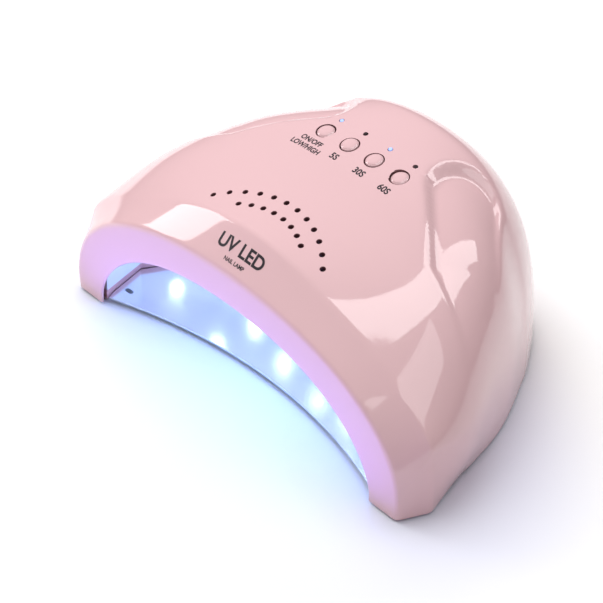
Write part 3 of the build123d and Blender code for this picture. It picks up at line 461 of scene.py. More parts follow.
# ---- shader groups and materials ----
def tone_group():
    """Slight drift of a colour over a moulding, with a darker or lighter cast in broad patches."""
    tree, given, out = new_tree(
        "Tone Drift", "ShaderNodeTree",
        [("Colour", "NodeSocketColor", (0.8, 0.8, 0.8, 1.0)), ("Cast", "NodeSocketColor", (0.7, 0.7, 0.7, 1.0)),
         ("Patch Scale", "NodeSocketFloat", 18.0), ("Amount", "NodeSocketFloat", 0.1)],
        [("Colour", "NodeSocketColor")])
    place = put(tree, "ShaderNodeTexCoord")
    patches = put(tree, "ShaderNodeTexNoise", {"Vector": place.outputs["Object"], "Scale": given["Patch Scale"],
                                               "Detail": 3.0, "Roughness": 0.55})
    spread = put(tree, "ShaderNodeMapRange", {"Value": patches.outputs[0], "From Min": 0.3, "From Max": 0.7})
    strength = put(tree, "ShaderNodeMath", {0: spread.outputs[0], 1: given["Amount"]}, operation="MULTIPLY")
    mix = put(tree, "ShaderNodeMix", {"Factor": strength.outputs[0], "A": given["Colour"], "B": given["Cast"]},
              data_type="RGBA")
    result = [s for s in mix.outputs if s.type == "RGBA"][0]
    tree.links.new(result, out["Colour"])
    return tree


def grain_group():
    """Fine moulding grain: a roughness that wanders and a height for bump."""
    tree, given, out = new_tree(
        "Moulding Grain", "ShaderNodeTree",
        [("Roughness", "NodeSocketFloat", 0.4), ("Spread", "NodeSocketFloat", 0.08),
         ("Grain Scale", "NodeSocketFloat", 1800.0), ("Ripple Scale", "NodeSocketFloat", 60.0),
         ("Ripple", "NodeSocketFloat", 0.3)],
        [("Roughness", "NodeSocketFloat"), ("Height", "NodeSocketFloat")])
    place = put(tree, "ShaderNodeTexCoord")
    fine = put(tree, "ShaderNodeTexNoise", {"Vector": place.outputs["Object"], "Scale": given["Grain Scale"],
                                            "Detail": 2.0, "Roughness": 0.6})
    broad = put(tree, "ShaderNodeTexNoise", {"Vector": place.outputs["Object"], "Scale": given["Ripple Scale"],
                                             "Detail": 2.0, "Roughness": 0.5})
    centred = put(tree, "ShaderNodeMath", {0: broad.outputs[0], 1: 0.5}, operation="SUBTRACT")
    scaled = put(tree, "ShaderNodeMath", {0: centred.outputs[0], 1: given["Spread"]}, operation="MULTIPLY")
    rough = put(tree, "ShaderNodeMath", {0: scaled.outputs[0], 1: given["Roughness"]}, operation="ADD", use_clamp=True)
    wave = put(tree, "ShaderNodeMath", {0: broad.outputs[0], 1: given["Ripple"]}, operation="MULTIPLY")
    height = put(tree, "ShaderNodeMath", {0: fine.outputs[0], 1: wave.outputs[0]}, operation="ADD")
    tree.links.new(rough.outputs[0], out["Roughness"])
    tree.links.new(height.outputs[0], out["Height"])
    return tree


def marks_group():
    """Handling marks on gloss: soft smudges and sparse hairline scratches that dull it."""
    tree, given, out = new_tree(
        "Handling Marks", "ShaderNodeTree",
        [("Roughness", "NodeSocketFloat", 0.1), ("Amount", "NodeSocketFloat", 0.15),
         ("Smudge Scale", "NodeSocketFloat", 22.0), ("Scratch Scale", "NodeSocketFloat", 130.0)],
        [("Roughness", "NodeSocketFloat")])
    place = put(tree, "ShaderNodeTexCoord")
    smudge = put(tree, "ShaderNodeTexNoise", {"Vector": place.outputs["Object"], "Scale": given["Smudge Scale"],
                                              "Detail": 5.0, "Roughness": 0.62, "Distortion": 0.6})
    patch = put(tree, "ShaderNodeMapRange", {"Value": smudge.outputs[0], "From Min": 0.52, "From Max": 0.78})
    stretch = put(tree, "ShaderNodeMapping", {"Vector": place.outputs["Object"], "Rotation": (0.5, 0.3, 0.7),
                                              "Scale": (1.0, 0.08, 1.0)})
    lines = put(tree, "ShaderNodeTexNoise", {"Vector": stretch.outputs[0], "Scale": given["Scratch Scale"],
                                             "Detail": 1.0, "Roughness": 0.4})
    ridge = put(tree, "ShaderNodeMath", {0: lines.outputs[0], 1: 0.5}, operation="SUBTRACT")
    thin = put(tree, "ShaderNodeMath", {0: ridge.outputs[0]}, operation="ABSOLUTE")
    hair = put(tree, "ShaderNodeMapRange", {"Value": thin.outputs[0], "From Min": 0.0, "From Max": 0.006,
                                            "To Min": 1.0, "To Max": 0.0})
    both = put(tree, "ShaderNodeMath", {0: hair.outputs[0], 1: 0.35, 2: patch.outputs[0]}, operation="MULTIPLY_ADD")
    dull = put(tree, "ShaderNodeMath", {0: both.outputs[0], 1: given["Amount"], 2: given["Roughness"]},
               operation="MULTIPLY_ADD", use_clamp=True)
    tree.links.new(dull.outputs[0], out["Roughness"])
    return tree


def grouped(material, group, values):
    """Place a shader group in a material with its own values."""
    node = put(material.node_tree, "ShaderNodeGroup", node_tree=group)
    for key, value in values.items():
        if isinstance(value, bpy.types.NodeSocket):
            material.node_tree.links.new(value, node.inputs[key])
        else:
            node.inputs[key].default_value = value
    return node


def start_material(name, **constants):
    """A material with only a Principled surface; constants are set on its own sockets."""
    material = bpy.data.materials.new(name)
    material.use_nodes = True
    tree = material.node_tree
    tree.nodes.clear()
    surface = tree.nodes.new("ShaderNodeBsdfPrincipled")
    output = tree.nodes.new("ShaderNodeOutputMaterial")
    tree.links.new(surface.outputs[0], output.inputs["Surface"])
    for key, value in constants.items():
        surface.inputs[key.replace("_", " ")].default_value = value
    return material, tree, surface


def rgba(rgb):
    return (rgb[0], rgb[1], rgb[2], 1.0)


def bumped(tree, surface, height, distance, strength=1.0):
    bump = put(tree, "ShaderNodeBump", {"Height": height, "Distance": distance, "Strength": strength})
    tree.links.new(bump.outputs[0], surface.inputs["Normal"])


def moulded(groups, name, rgb, cast, roughness, spread, grain, ripple=0.3, drift=0.12, depth=0.00002, **constants):
    """Moulded, cast or pressed material with colour drift and grain."""
    material, tree, surface = start_material(name, **constants)
    tone = grouped(material, groups["tone"], {"Colour": rgba(rgb), "Cast": rgba(cast), "Amount": drift})
    skin = grouped(material, groups["grain"], {"Roughness": roughness, "Spread": spread, "Grain Scale": grain,
                                               "Ripple": ripple})
    tree.links.new(tone.outputs["Colour"], surface.inputs["Base Color"])
    tree.links.new(skin.outputs["Roughness"], surface.inputs["Roughness"])
    bumped(tree, surface, skin.outputs["Height"], depth)
    return material


def gloss(groups, name, rgb, cast, roughness, marks, **constants):
    """High-gloss moulding with slight orange peel, smudges and hairlines."""
    material, tree, surface = start_material(name, **constants)
    tone = grouped(material, groups["tone"], {"Colour": rgba(rgb), "Cast": rgba(cast), "Amount": 0.16,
                                              "Patch Scale": 9.0})
    worn = grouped(material, groups["marks"], {"Roughness": roughness, "Amount": marks})
    skin = grouped(material, groups["grain"], {"Roughness": roughness, "Spread": 0.03, "Grain Scale": 420.0,
                                               "Ripple Scale": 26.0, "Ripple": 2.5})
    tree.links.new(tone.outputs["Colour"], surface.inputs["Base Color"])
    tree.links.new(worn.outputs["Roughness"], surface.inputs["Roughness"])
    bumped(tree, surface, skin.outputs["Height"], 0.000012)
    return material


def glowing(groups, name, rgb, glow, strength):
    """Clear lens over a lit die."""
    material, tree, surface = start_material(name, Emission_Strength=strength, Specular_IOR_Level=0.6)
    tone = grouped(material, groups["tone"], {"Colour": rgba(rgb), "Cast": rgba(glow), "Amount": 0.2})
    skin = grouped(material, groups["grain"], {"Roughness": 0.08, "Spread": 0.05, "Grain Scale": 3000.0})
    light = grouped(material, groups["tone"], {"Colour": rgba(glow), "Cast": (1.0, 1.0, 1.0, 1.0), "Amount": 0.15,
                                               "Patch Scale": 300.0})
    tree.links.new(tone.outputs["Colour"], surface.inputs["Base Color"])
    tree.links.new(skin.outputs["Roughness"], surface.inputs["Roughness"])
    tree.links.new(light.outputs["Colour"], surface.inputs["Emission Color"])
    return material


def indicator(groups, glow):
    """Clear pipes of which only the first and the third show light."""
    material, tree, surface = start_material("Indicator pipe", Emission_Strength=0.55, Specular_IOR_Level=0.6)
    place = put(tree, "ShaderNodeTexCoord")
    along = put(tree, "ShaderNodeSeparateXYZ", {"Vector": place.outputs["Object"]})
    lit = []
    for spot in (BUTTON_PLACES[0], BUTTON_PLACES[2]):
        lit.append(put(tree, "ShaderNodeMath", {0: along.outputs["X"], 1: spot * SWITCH_PITCH * MM, 2: 4 * MM},
                       operation="COMPARE"))
    either = put(tree, "ShaderNodeMath", {0: lit[0].outputs[0], 1: lit[1].outputs[0]}, operation="MAXIMUM")
    light = put(tree, "ShaderNodeMix", {"Factor": either.outputs[0]}, data_type="RGBA")
    body = put(tree, "ShaderNodeMix", {"Factor": either.outputs[0]}, data_type="RGBA")
    for node, low, high in ((light, (0.0, 0.0, 0.0), glow), (body, (0.02, 0.006, 0.01), glow)):
        ends = [s for s in node.inputs if s.type == "RGBA"]
        ends[0].default_value, ends[1].default_value = rgba(low), rgba(high)
    skin = grouped(material, groups["grain"], {"Roughness": 0.12, "Spread": 0.08, "Grain Scale": 3000.0})
    for node, key in ((light, "Emission Color"), (body, "Base Color")):
        tree.links.new([s for s in node.outputs if s.type == "RGBA"][0], surface.inputs[key])
    tree.links.new(skin.outputs["Roughness"], surface.inputs["Roughness"])
    return material


MATERIALS = {}


def make_materials(settings):
    """Every finish of the lamp, by the name of its slot."""
    groups = {"tone": tone_group(), "grain": grain_group(), "marks": marks_group()}
    cover, base = tuple(settings.cover_colour), tuple(settings.base_colour)
    deeper = tuple(c * 0.94 for c in cover)
    MATERIALS["gloss_cover"] = gloss(groups, "Gloss pink moulding", cover, deeper, settings.cover_roughness,
                                     settings.marks, IOR=1.5, Coat_Weight=0.35, Coat_Roughness=0.04,
                                     Subsurface_Weight=0.0)
    MATERIALS["matte_base"] = moulded(groups, "Satin pink ring", base, tuple(c * 0.85 for c in base), 0.46, 0.14, 1500.0)
    MATERIALS["mirror_sheet"] = moulded(groups, "Polished drop-off plate", (0.9, 0.93, 0.96), (0.82, 0.86, 0.92), 0.2,
                                        0.08, 900.0, ripple=3.0, depth=0.00001, Metallic=1.0)
    MATERIALS["magnet"] = moulded(groups, "Nickel-plated magnet", (0.66, 0.66, 0.68), (0.5, 0.5, 0.52), 0.22, 0.2, 2600.0,
                                  Metallic=1.0)
    MATERIALS["foot_rubber"] = moulded(groups, "Foot rubber", (0.05, 0.05, 0.054), (0.1, 0.095, 0.09), 0.78, 0.2, 900.0,
                                       depth=0.00006)
    MATERIALS["hood_white"] = moulded(groups, "Bright white hood", (0.9, 0.93, 0.96), (0.8, 0.85, 0.9), 0.24, 0.14,
                                      1200.0, ripple=1.5, Coat_Weight=0.3, Coat_Roughness=0.1)
    MATERIALS["circuit_board"] = moulded(groups, "White solder mask", (0.78, 0.81, 0.8), (0.6, 0.66, 0.62), 0.38, 0.2,
                                         2200.0)
    MATERIALS["led_package"] = moulded(groups, "Ceramic lamp package", (0.88, 0.86, 0.72), (0.75, 0.7, 0.5), 0.42, 0.16,
                                       2600.0)
    MATERIALS["led_lens"] = glowing(groups, "Lit lamp lens", (0.8, 0.88, 1.0), (0.55, 0.72, 1.0), 9.0)
    MATERIALS["bare_aluminium"] = moulded(groups, "Brushed heat spreader", (0.8, 0.81, 0.82), (0.68, 0.69, 0.71), 0.34,
                                          0.25, 1600.0, Metallic=1.0)
    MATERIALS["screw_steel"] = moulded(groups, "Zinc-plated steel", (0.62, 0.62, 0.63), (0.45, 0.44, 0.42), 0.28, 0.25,
                                       1900.0, Metallic=1.0)
    MATERIALS["dark_plastic"] = moulded(groups, "Dark moulding", (0.02, 0.02, 0.023), (0.05, 0.05, 0.05), 0.44, 0.2,
                                        1500.0)
    MATERIALS["white_plastic"] = moulded(groups, "White moulding", (0.8, 0.8, 0.77), (0.66, 0.65, 0.6), 0.4, 0.18, 1500.0)
    MATERIALS["light_pipe"] = indicator(groups, tuple(settings.pipe_colour))
    MATERIALS["contact_metal"] = moulded(groups, "Plated contact", (0.8, 0.7, 0.42), (0.6, 0.5, 0.28), 0.24, 0.2, 2400.0,
                                         Metallic=1.0)
    MATERIALS["lead_sleeve"] = moulded(groups, "Lead sleeve", (0.05, 0.05, 0.055), (0.11, 0.11, 0.12), 0.5, 0.2, 1400.0)
    # Raw unpolished plastic for the inside of the cover and the walls of its holes; its dark rose colour is painted
    # shade.
    MATERIALS["inside_painted_shade"] = moulded(groups, "Raw inside of the cover in painted shade", (0.16, 0.062, 0.07), (0.11, 0.04, 0.045), 0.6,
                                      0.2, 1300.0)
    MATERIALS["ink"] = moulded(groups, "Printed ink", tuple(settings.ink_colour), (0.06, 0.045, 0.055), 0.4, 0.15,
                               2200.0)


# ---- operators ----
class LAMP_OT_finishes(bpy.types.Operator):
    """Give every piece of the lamp its own finish"""
    bl_idname = "lamp.finishes"
    bl_label = "Finishes"

    def execute(self, context):
        make_materials(context.scene.lamp_finish)
        slots = {part["node"]: part["material_slot"] for part in frame["record"]["subparts"]}
        for name, piece in frame["nodes"].items():
            finish = MATERIALS[slots[name]]
            for place in piece.material_slots:
                place.material = finish
        return {"FINISHED"}


class LAMP_OT_cover(bpy.types.Operator):
    """Build the gloss cover with its scoops, vents and button holes"""
    bl_idname = "lamp.cover"
    bl_label = "Cover"

    def execute(self, context):
        settings = context.scene.lamp_cover
        skin = cover_sheet(settings)
        # The second slot, used by the inner face of the wall, holds the raw inside darkened with painted shade.
        for finish in ("gloss_cover", "inside_painted_shade"):
            skin.materials.append(MATERIALS[finish])
        sheet = bpy.data.objects.new("cover_sheet", skin)
        context.collection.objects.link(sheet)
        context.view_layer.update()
        tree = drill_tree()
        holes = (("vents", vent_points(), settings.vent_hole, (0.0, 0.0, 1.0), 1.0),
                 ("buttons", panel_points(0.0), settings.button_hole, PANEL_AXIS, 0.0),
                 ("pipes", panel_points(PIPE_OFFSET), settings.pipe_hole, PANEL_AXIS, 0.0))
        cutters = bmesh.new()
        for name, points, radius, axis, follow in holes:
            # The cutters carry the painted-shade material onto the walls of the holes.
            mesh = grown(name, tree, {"Cover": sheet, "Radius": radius, "Flare": settings.flare, "Reach": 12 * MM,
                                      "Axis": axis, "Follow Surface": follow, "Material": MATERIALS["inside_painted_shade"]},
                         points_mesh(name, points))
            cutters.from_mesh(mesh)
        for radius, depth in ((5.8, 1.8), (4.1, 12.0)):
            made = bmesh.ops.create_cone(cutters, segments=64, cap_ends=True, radius1=radius * MM, radius2=radius * MM,
                                         depth=(depth + 2) * MM)
            for vert in made["verts"]:
                x, y, z = vert.co
                vert.co = (x, (BACK_DEPTH - DEPTH_TO_CENTRE + 1 - depth / 2) * MM + z, JACK_HEIGHT * MM + y)
            bmesh.ops.recalc_face_normals(cutters, faces=list({f for v in made["verts"] for f in v.link_faces}))
        cutter_mesh = bpy.data.meshes.new("cover_cutters")
        cutters.to_mesh(cutter_mesh)
        cutters.free()
        # The jack holes' walls take the same painted shade.
        cutter_mesh.materials.append(MATERIALS["inside_painted_shade"])
        cutter = bpy.data.objects.new("cover_cutters", cutter_mesh)
        context.collection.objects.link(cutter)
        wall = sheet.modifiers.new("Wall", "SOLIDIFY")
        wall.thickness = settings.wall
        wall.offset = -1.0
        # The inner face takes the second slot, its painted shade.
        wall.material_offset = 1
        cut = sheet.modifiers.new("Holes", "BOOLEAN")
        cut.operation = "DIFFERENCE"
        cut.solver = "EXACT"
        cut.use_self = True
        cut.object = cutter
        depsgraph = context.evaluated_depsgraph_get()
        mesh = bpy.data.meshes.new_from_object(sheet.evaluated_get(depsgraph), depsgraph=depsgraph)
        mesh.name = "gloss_cover"
        for spare in (sheet, cutter):
            bpy.data.objects.remove(spare)
        cover = placed("gloss_cover", mesh, smooth=32)
        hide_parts("top_shell")
        return {"FINISHED"}


def flat_text(body, size, place, squeeze):
    """A line of lettering as a flat mesh centred on a place in plan, squeezed for the slope it is printed on."""
    curve = bpy.data.curves.new("legend", "FONT")
    curve.body = body
    curve.size = size * MM
    curve.align_x = "CENTER"
    curve.align_y = "CENTER"
    curve.offset = 0.026 * size * MM
    curve.resolution_u = 6
    holder = bpy.data.objects.new("legend", curve)
    bpy.context.collection.objects.link(holder)
    depsgraph = bpy.context.evaluated_depsgraph_get()
    mesh = bpy.data.meshes.new_from_object(holder.evaluated_get(depsgraph), depsgraph=depsgraph)
    bpy.data.objects.remove(holder)
    for vert in mesh.vertices:
        vert.co = (vert.co.x + place[0] * MM, vert.co.y * squeeze + (place[1] - DEPTH_TO_CENTRE) * MM, 0.15)
    return mesh


def lathe(profile, segments):
    """A closed turned piece on the Z axis from radius and height pairs, its ends on the axis."""
    shape = bmesh.new()
    rings = []
    for radius, height in profile:
        if radius < 1e-9:
            rings.append([shape.verts.new((0, 0, height))] * segments)
        else:
            rings.append([shape.verts.new((radius * cos(2 * pi * i / segments), radius * sin(2 * pi * i / segments),
                                           height)) for i in range(segments)])
    for low, high in zip(rings, rings[1:]):
        for i in range(segments):
            corners = [low[i], low[(i + 1) % segments], high[(i + 1) % segments], high[i]]
            shape.faces.new(list(dict.fromkeys(corners)))
    bmesh.ops.recalc_face_normals(shape, faces=shape.faces)
    return shape


def panel_frame(place, drop):
    """Matrix from a key's own axis to its place in the button panel."""
    tilt = Matrix.Rotation(radians(PANEL_TILT), 4, "X")
    return Matrix.Translation((place * SWITCH_PITCH * MM, (BUTTON_DEPTH - DEPTH_TO_CENTRE) * MM, PANEL_RISE * MM)) @ \
        tilt @ Matrix.Translation((0, 0, -drop * MM))


KEYS = (("power", -1.5, 1.25), ("5s", -0.5, 0.0), ("30s", 0.5, 0.0), ("60s", 1.5, 1.25))   # name, place, drop
KEY_TOP = 0.75
KEY_EDGE = 0.55
KEY_FLANGE = (5.4, -3.2, -4.1)
KEY_STEM = (1.5, -8.6)


class LAMP_OT_buttons(bpy.types.Operator):
    """Turn the domed button caps with their flanges and stems"""
    bl_idname = "lamp.buttons"
    bl_label = "Buttons"

    def execute(self, context):
        settings = context.scene.lamp_cover
        cap, crown = settings.button_cap / MM, settings.button_crown / MM
        shoulder = KEY_TOP - crown
        radius, high, low = KEY_FLANGE
        stem, end = KEY_STEM
        for name, place, drop in KEYS:
            stem_end = end + drop
            profile = [(0, stem_end), (stem - 0.2, stem_end), (stem, stem_end + 0.2), (stem, low), (radius, low),
                       (radius, high), (cap, high), (cap, shoulder - KEY_EDGE)]
            turns = [radians(a) for a in (18, 36, 54, 72)]
            profile += [(cap - KEY_EDGE * (1 - cos(a)), shoulder - KEY_EDGE * (1 - sin(a))) for a in turns]
            rim = cap - KEY_EDGE
            profile += [(rim * cos(t * pi / 2), shoulder + crown * sin(t * pi / 2)) for t in np.linspace(0.06, 1, 9)]
            profile[-1] = (0, KEY_TOP)
            shape = lathe([(x * MM, z * MM) for x, z in profile], 56)
            shape.transform(panel_frame(place, drop))
            mesh = bpy.data.meshes.new(f"cap_{name}")
            shape.to_mesh(mesh)
            shape.free()
            mesh.materials.append(MATERIALS["gloss_cover"])
            piece = placed(f"cap_{name}", mesh, body=f"key_{name}", smooth=40)
            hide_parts(f"button_{name}")
        return {"FINISHED"}


def rod_tree():
    """Geometry tree: a clear rod hangs from each point, along one axis, down to the plane through the foot."""
    tree, given, out = new_tree(
        "Rod row", "GeometryNodeTree",
        [("Points", "NodeSocketGeometry", None), ("Radius", "NodeSocketFloat", 0.0009),
         ("Foot", "NodeSocketVector", (0.0, 0.0, 0.0)), ("Axis", "NodeSocketVector", (0.0, 0.0, 1.0)),
         ("Material", "NodeSocketMaterial", None)],
        [("Geometry", "NodeSocketGeometry")])
    rod = put(tree, "GeometryNodeMeshCylinder", {"Vertices": 28, "Radius": given["Radius"], "Depth": 1.0})
    hung = put(tree, "GeometryNodeTransform", {"Geometry": rod.outputs[0], "Translation": (0.0, 0.0, -0.5)})
    above = put(tree, "ShaderNodeVectorMath", {0: put(tree, "GeometryNodeInputPosition").outputs[0], 1: given["Foot"]},
                operation="SUBTRACT")
    length = put(tree, "ShaderNodeVectorMath", {0: above.outputs[0], 1: given["Axis"]}, operation="DOT_PRODUCT")
    stretch = put(tree, "ShaderNodeCombineXYZ", {"X": 1.0, "Y": 1.0, "Z": length.outputs["Value"]})
    turn = put(tree, "FunctionNodeAlignRotationToVector", {"Vector": given["Axis"]}, axis="Z")
    copies = put(tree, "GeometryNodeInstanceOnPoints", {"Points": given["Points"], "Instance": hung.outputs[0],
                                                       "Rotation": turn.outputs[0], "Scale": stretch.outputs[0]})
    real = put(tree, "GeometryNodeRealizeInstances", {"Geometry": copies.outputs[0]})
    painted = put(tree, "GeometryNodeSetMaterial", {"Geometry": real.outputs[0], "Material": given["Material"]})
    tree.links.new(painted.outputs[0], out["Geometry"])
    return tree


PIPE_TOP = -0.35
PIPE_END = -11.4


class LAMP_OT_indicators(bpy.types.Operator):
    """Set the clear indicator rods behind the buttons"""
    bl_idname = "lamp.indicators"
    bl_label = "Indicators"

    def execute(self, context):
        points = []
        for _, place, drop in KEYS:
            spot = panel_frame(place, drop) @ Vector((0, PIPE_OFFSET * MM, PIPE_TOP * MM))
            points.append(tuple(spot))
        foot = panel_frame(0.0, 0.0) @ Vector((0, 0, PIPE_END * MM))
        mesh = grown("indicator_rods", rod_tree(),
                     {"Radius": context.scene.lamp_cover.pipe, "Foot": tuple(foot), "Axis": PANEL_AXIS,
                      "Material": MATERIALS["light_pipe"]}, points_mesh("indicator_points", points))
        rods = placed("indicator_rods", mesh, smooth=40)
        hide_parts("light_pipes")
        return {"FINISHED"}


def screw_tree():
    """Geometry tree: a cross-head screw at each point, each turned by its own amount about the screw's axis."""
    tree, given, out = new_tree(
        "Cross-head screws", "GeometryNodeTree",
        [("Points", "NodeSocketGeometry", None), ("Head Radius", "NodeSocketFloat", 0.0024),
         ("Head Height", "NodeSocketFloat", 0.0013), ("Shank Radius", "NodeSocketFloat", 0.001),
         ("Shank Length", "NodeSocketFloat", 0.009), ("Facing", "NodeSocketVector", (pi, 0.0, 0.0)),
         ("Seed", "NodeSocketInt", 3), ("Material", "NodeSocketMaterial", None)],
        [("Geometry", "NodeSocketGeometry")])

    def times(value, factor):
        return put(tree, "ShaderNodeMath", {0: value, 1: factor}, operation="MULTIPLY").outputs[0]

    def shifted(geometry, height):
        lift = put(tree, "ShaderNodeCombineXYZ", {"Z": height})
        return put(tree, "GeometryNodeTransform", {"Geometry": geometry, "Translation": lift.outputs[0]}).outputs[0]

    radius, height = given["Head Radius"], given["Head Height"]
    rim = put(tree, "GeometryNodeMeshCone", {"Vertices": 32, "Radius Bottom": radius, "Radius Top": times(radius, 0.72),
                                             "Depth": times(height, 0.4)})
    body = put(tree, "GeometryNodeMeshCylinder", {"Vertices": 32, "Radius": radius, "Depth": times(height, 0.6)})
    shank = put(tree, "GeometryNodeMeshCylinder", {"Vertices": 20, "Radius": given["Shank Radius"],
                                                   "Depth": given["Shank Length"]})
    blades = []
    for wide, long in ((0.3, 1.15), (1.15, 0.3)):
        size = put(tree, "ShaderNodeCombineXYZ", {"X": times(radius, wide), "Y": times(radius, long),
                                                  "Z": times(height, 1.1)})
        blades.append(shifted(put(tree, "GeometryNodeMeshCube", {"Size": size.outputs[0]}).outputs[0], height))
    head = put(tree, "GeometryNodeJoinGeometry")
    tree.links.new(shifted(body.outputs[0], times(height, 0.3)), head.inputs["Geometry"])
    tree.links.new(shifted(rim.outputs[0], times(height, 0.6)), head.inputs["Geometry"])
    cut = put(tree, "GeometryNodeMeshBoolean", {"Mesh 1": head.outputs[0], "Self Intersection": True},
              operation="DIFFERENCE", solver="EXACT")
    for blade in blades:
        tree.links.new(blade, cut.inputs["Mesh 2"])
    whole = put(tree, "GeometryNodeJoinGeometry")
    tree.links.new(cut.outputs[0], whole.inputs["Geometry"])
    tree.links.new(shifted(shank.outputs[0], times(given["Shank Length"], -0.49)), whole.inputs["Geometry"])
    spin = put(tree, "FunctionNodeRandomValue", {"Seed": given["Seed"]}, data_type="FLOAT")
    angle = times(spin.outputs[1], pi)
    twist = put(tree, "FunctionNodeAxisAngleToRotation", {"Axis": (0.0, 0.0, 1.0), "Angle": angle})
    facing = put(tree, "FunctionNodeEulerToRotation", {"Euler": given["Facing"]})
    turn = put(tree, "FunctionNodeRotateRotation", {"Rotation": facing.outputs[0], "Rotate By": twist.outputs[0]},
               rotation_space="LOCAL")
    copies = put(tree, "GeometryNodeInstanceOnPoints", {"Points": given["Points"], "Instance": whole.outputs[0],
                                                       "Rotation": turn.outputs[0]})
    real = put(tree, "GeometryNodeRealizeInstances", {"Geometry": copies.outputs[0]})
    painted = put(tree, "GeometryNodeSetMaterial", {"Geometry": real.outputs[0], "Material": given["Material"]})
    tree.links.new(painted.outputs[0], out["Geometry"])
    return tree


SHELL_SCREWS = ((100.0, 16.5), (87.2, 58.5), (20.0, 127.0))   # x and depth, on both sides
HOOD_SCREWS = ((96.0, 33.0), (71.8, 86.0))


class LAMP_OT_screws(bpy.types.Operator):
    """Drive the cross-head screws that hold the ring and the hood"""
    bl_idname = "lamp.screws"
    bl_label = "Screws"

    def execute(self, context):
        tree = screw_tree()
        sets = (("shell_screws", SHELL_SCREWS, 2.4, (pi, 0.0, 0.0), True),
                ("hood_screws", HOOD_SCREWS, 1.8, (0.0, 0.0, 0.0), False))
        for node, places, radius, facing, down in sets:
            low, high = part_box(node)
            seat = low.z + 1.3 * MM if down else high.z - 1.3 * MM
            shank = high.z - seat if down else seat - low.z
            points = [(side * x * MM, (depth - DEPTH_TO_CENTRE) * MM, seat) for x, depth in places for side in (-1, 1)]
            mesh = grown(f"cross_{node}", tree,
                         {"Head Radius": radius * MM, "Head Height": 1.3 * MM, "Shank Length": shank,
                          "Facing": facing, "Material": MATERIALS["screw_steel"]},
                         points_mesh(f"{node}_points", points))
            piece = placed(f"cross_{node}", mesh, smooth=35)
            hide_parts(node)
        return {"FINISHED"}


LEGENDS = (("ON/OFF", 3.4, (-23.0, 62.4)), ("LOW/HIGH", 3.4, (-23.0, 58.8)), ("5S", 4.2, (-7.7, 61.4)),
           ("30S", 4.2, (7.7, 61.4)), ("60S", 4.2, (23.0, 61.4)))
FRONT_LEGENDS = (("UV LED", 8.4, (0.0, 5.6)), ("NAIL LAMP", 2.5, (0.0, 1.6)))
BAND_SQUEEZE = 0.68


class LAMP_OT_legends(bpy.types.Operator):
    """Print the key legends and the plain wording on the cover"""
    bl_idname = "lamp.legends"
    bl_label = "Legends"

    def execute(self, context):
        cover = bpy.data.objects["gloss_cover"]
        shape = bmesh.new()
        shape.from_mesh(cover.data)
        tree = BVHTree.FromBMesh(shape)
        shape.free()
        for name, lines, squeeze in (("key_legends", LEGENDS, 1.0), ("front_legends", FRONT_LEGENDS, BAND_SQUEEZE)):
            whole = bmesh.new()
            for body, size, place in lines:
                whole.from_mesh(flat_text(body, size, place, squeeze))
            bmesh.ops.triangulate(whole, faces=whole.faces)
            for vert in whole.verts:
                hit, normal, _, _ = tree.ray_cast(vert.co, Vector((0, 0, -1)))
                if hit is None:
                    raise RuntimeError(f"{name}: a letter lies off the cover")
                vert.co = hit + normal * 0.00006
            mesh = bpy.data.meshes.new(name)
            whole.to_mesh(mesh)
            whole.free()
            mesh.materials.append(MATERIALS["ink"])
            placed(name, mesh)
        return {"FINISHED"}


def area_light(name, place, turn, size, power, rgb):
    """A soft rectangular light that faces down, turned by this many degrees in plan."""
    lamp = bpy.data.lights.new(name, "AREA")
    lamp.shape = "RECTANGLE"
    lamp.size, lamp.size_y = size
    lamp.energy = power
    lamp.color = rgb
    holder = bpy.data.objects.new(name, lamp)
    holder.location = place
    holder.rotation_mode = "QUATERNION"
    holder.rotation_quaternion = Quaternion((0, 0, 1), radians(turn))
    bpy.context.collection.objects.link(holder)
    return holder


def floor_material(pale):
    """Pale floor with a faint cool patch in front of the opening, the chamber's light painted into its colour."""
    material, tree, surface = start_material("Pale floor", Roughness=0.6, Specular_IOR_Level=0.2)
    place = put(tree, "ShaderNodeTexCoord")
    painted_pool = put(tree, "ShaderNodeMapping", {"Vector": place.outputs["Object"], "Location": (0.0, 0.098, 0.0),
                                           "Scale": (1.0, 1.45, 1.0)})
    away = put(tree, "ShaderNodeVectorMath", {0: painted_pool.outputs[0]}, operation="LENGTH")
    # Painted light: the colour turns cool and faintly violet near the opening, then fades to the floor's own colour.
    ramp = put(tree, "ShaderNodeValToRGB", {"Fac": away.outputs["Value"]})
    painted_light_stops = ramp.color_ramp.elements
    painted_light_stops[0].position, painted_light_stops[0].color = 0.03, (0.78, 0.9, pale[2], 1.0)
    painted_light_stops[1].position, painted_light_stops[1].color = 0.2, rgba(pale)
    middle = painted_light_stops.new(0.13)
    middle.color = (0.86, 0.87, pale[2], 1.0)
    ramp.color_ramp.interpolation = "EASE"
    tree.links.new(ramp.outputs["Color"], surface.inputs["Base Color"])
    return material


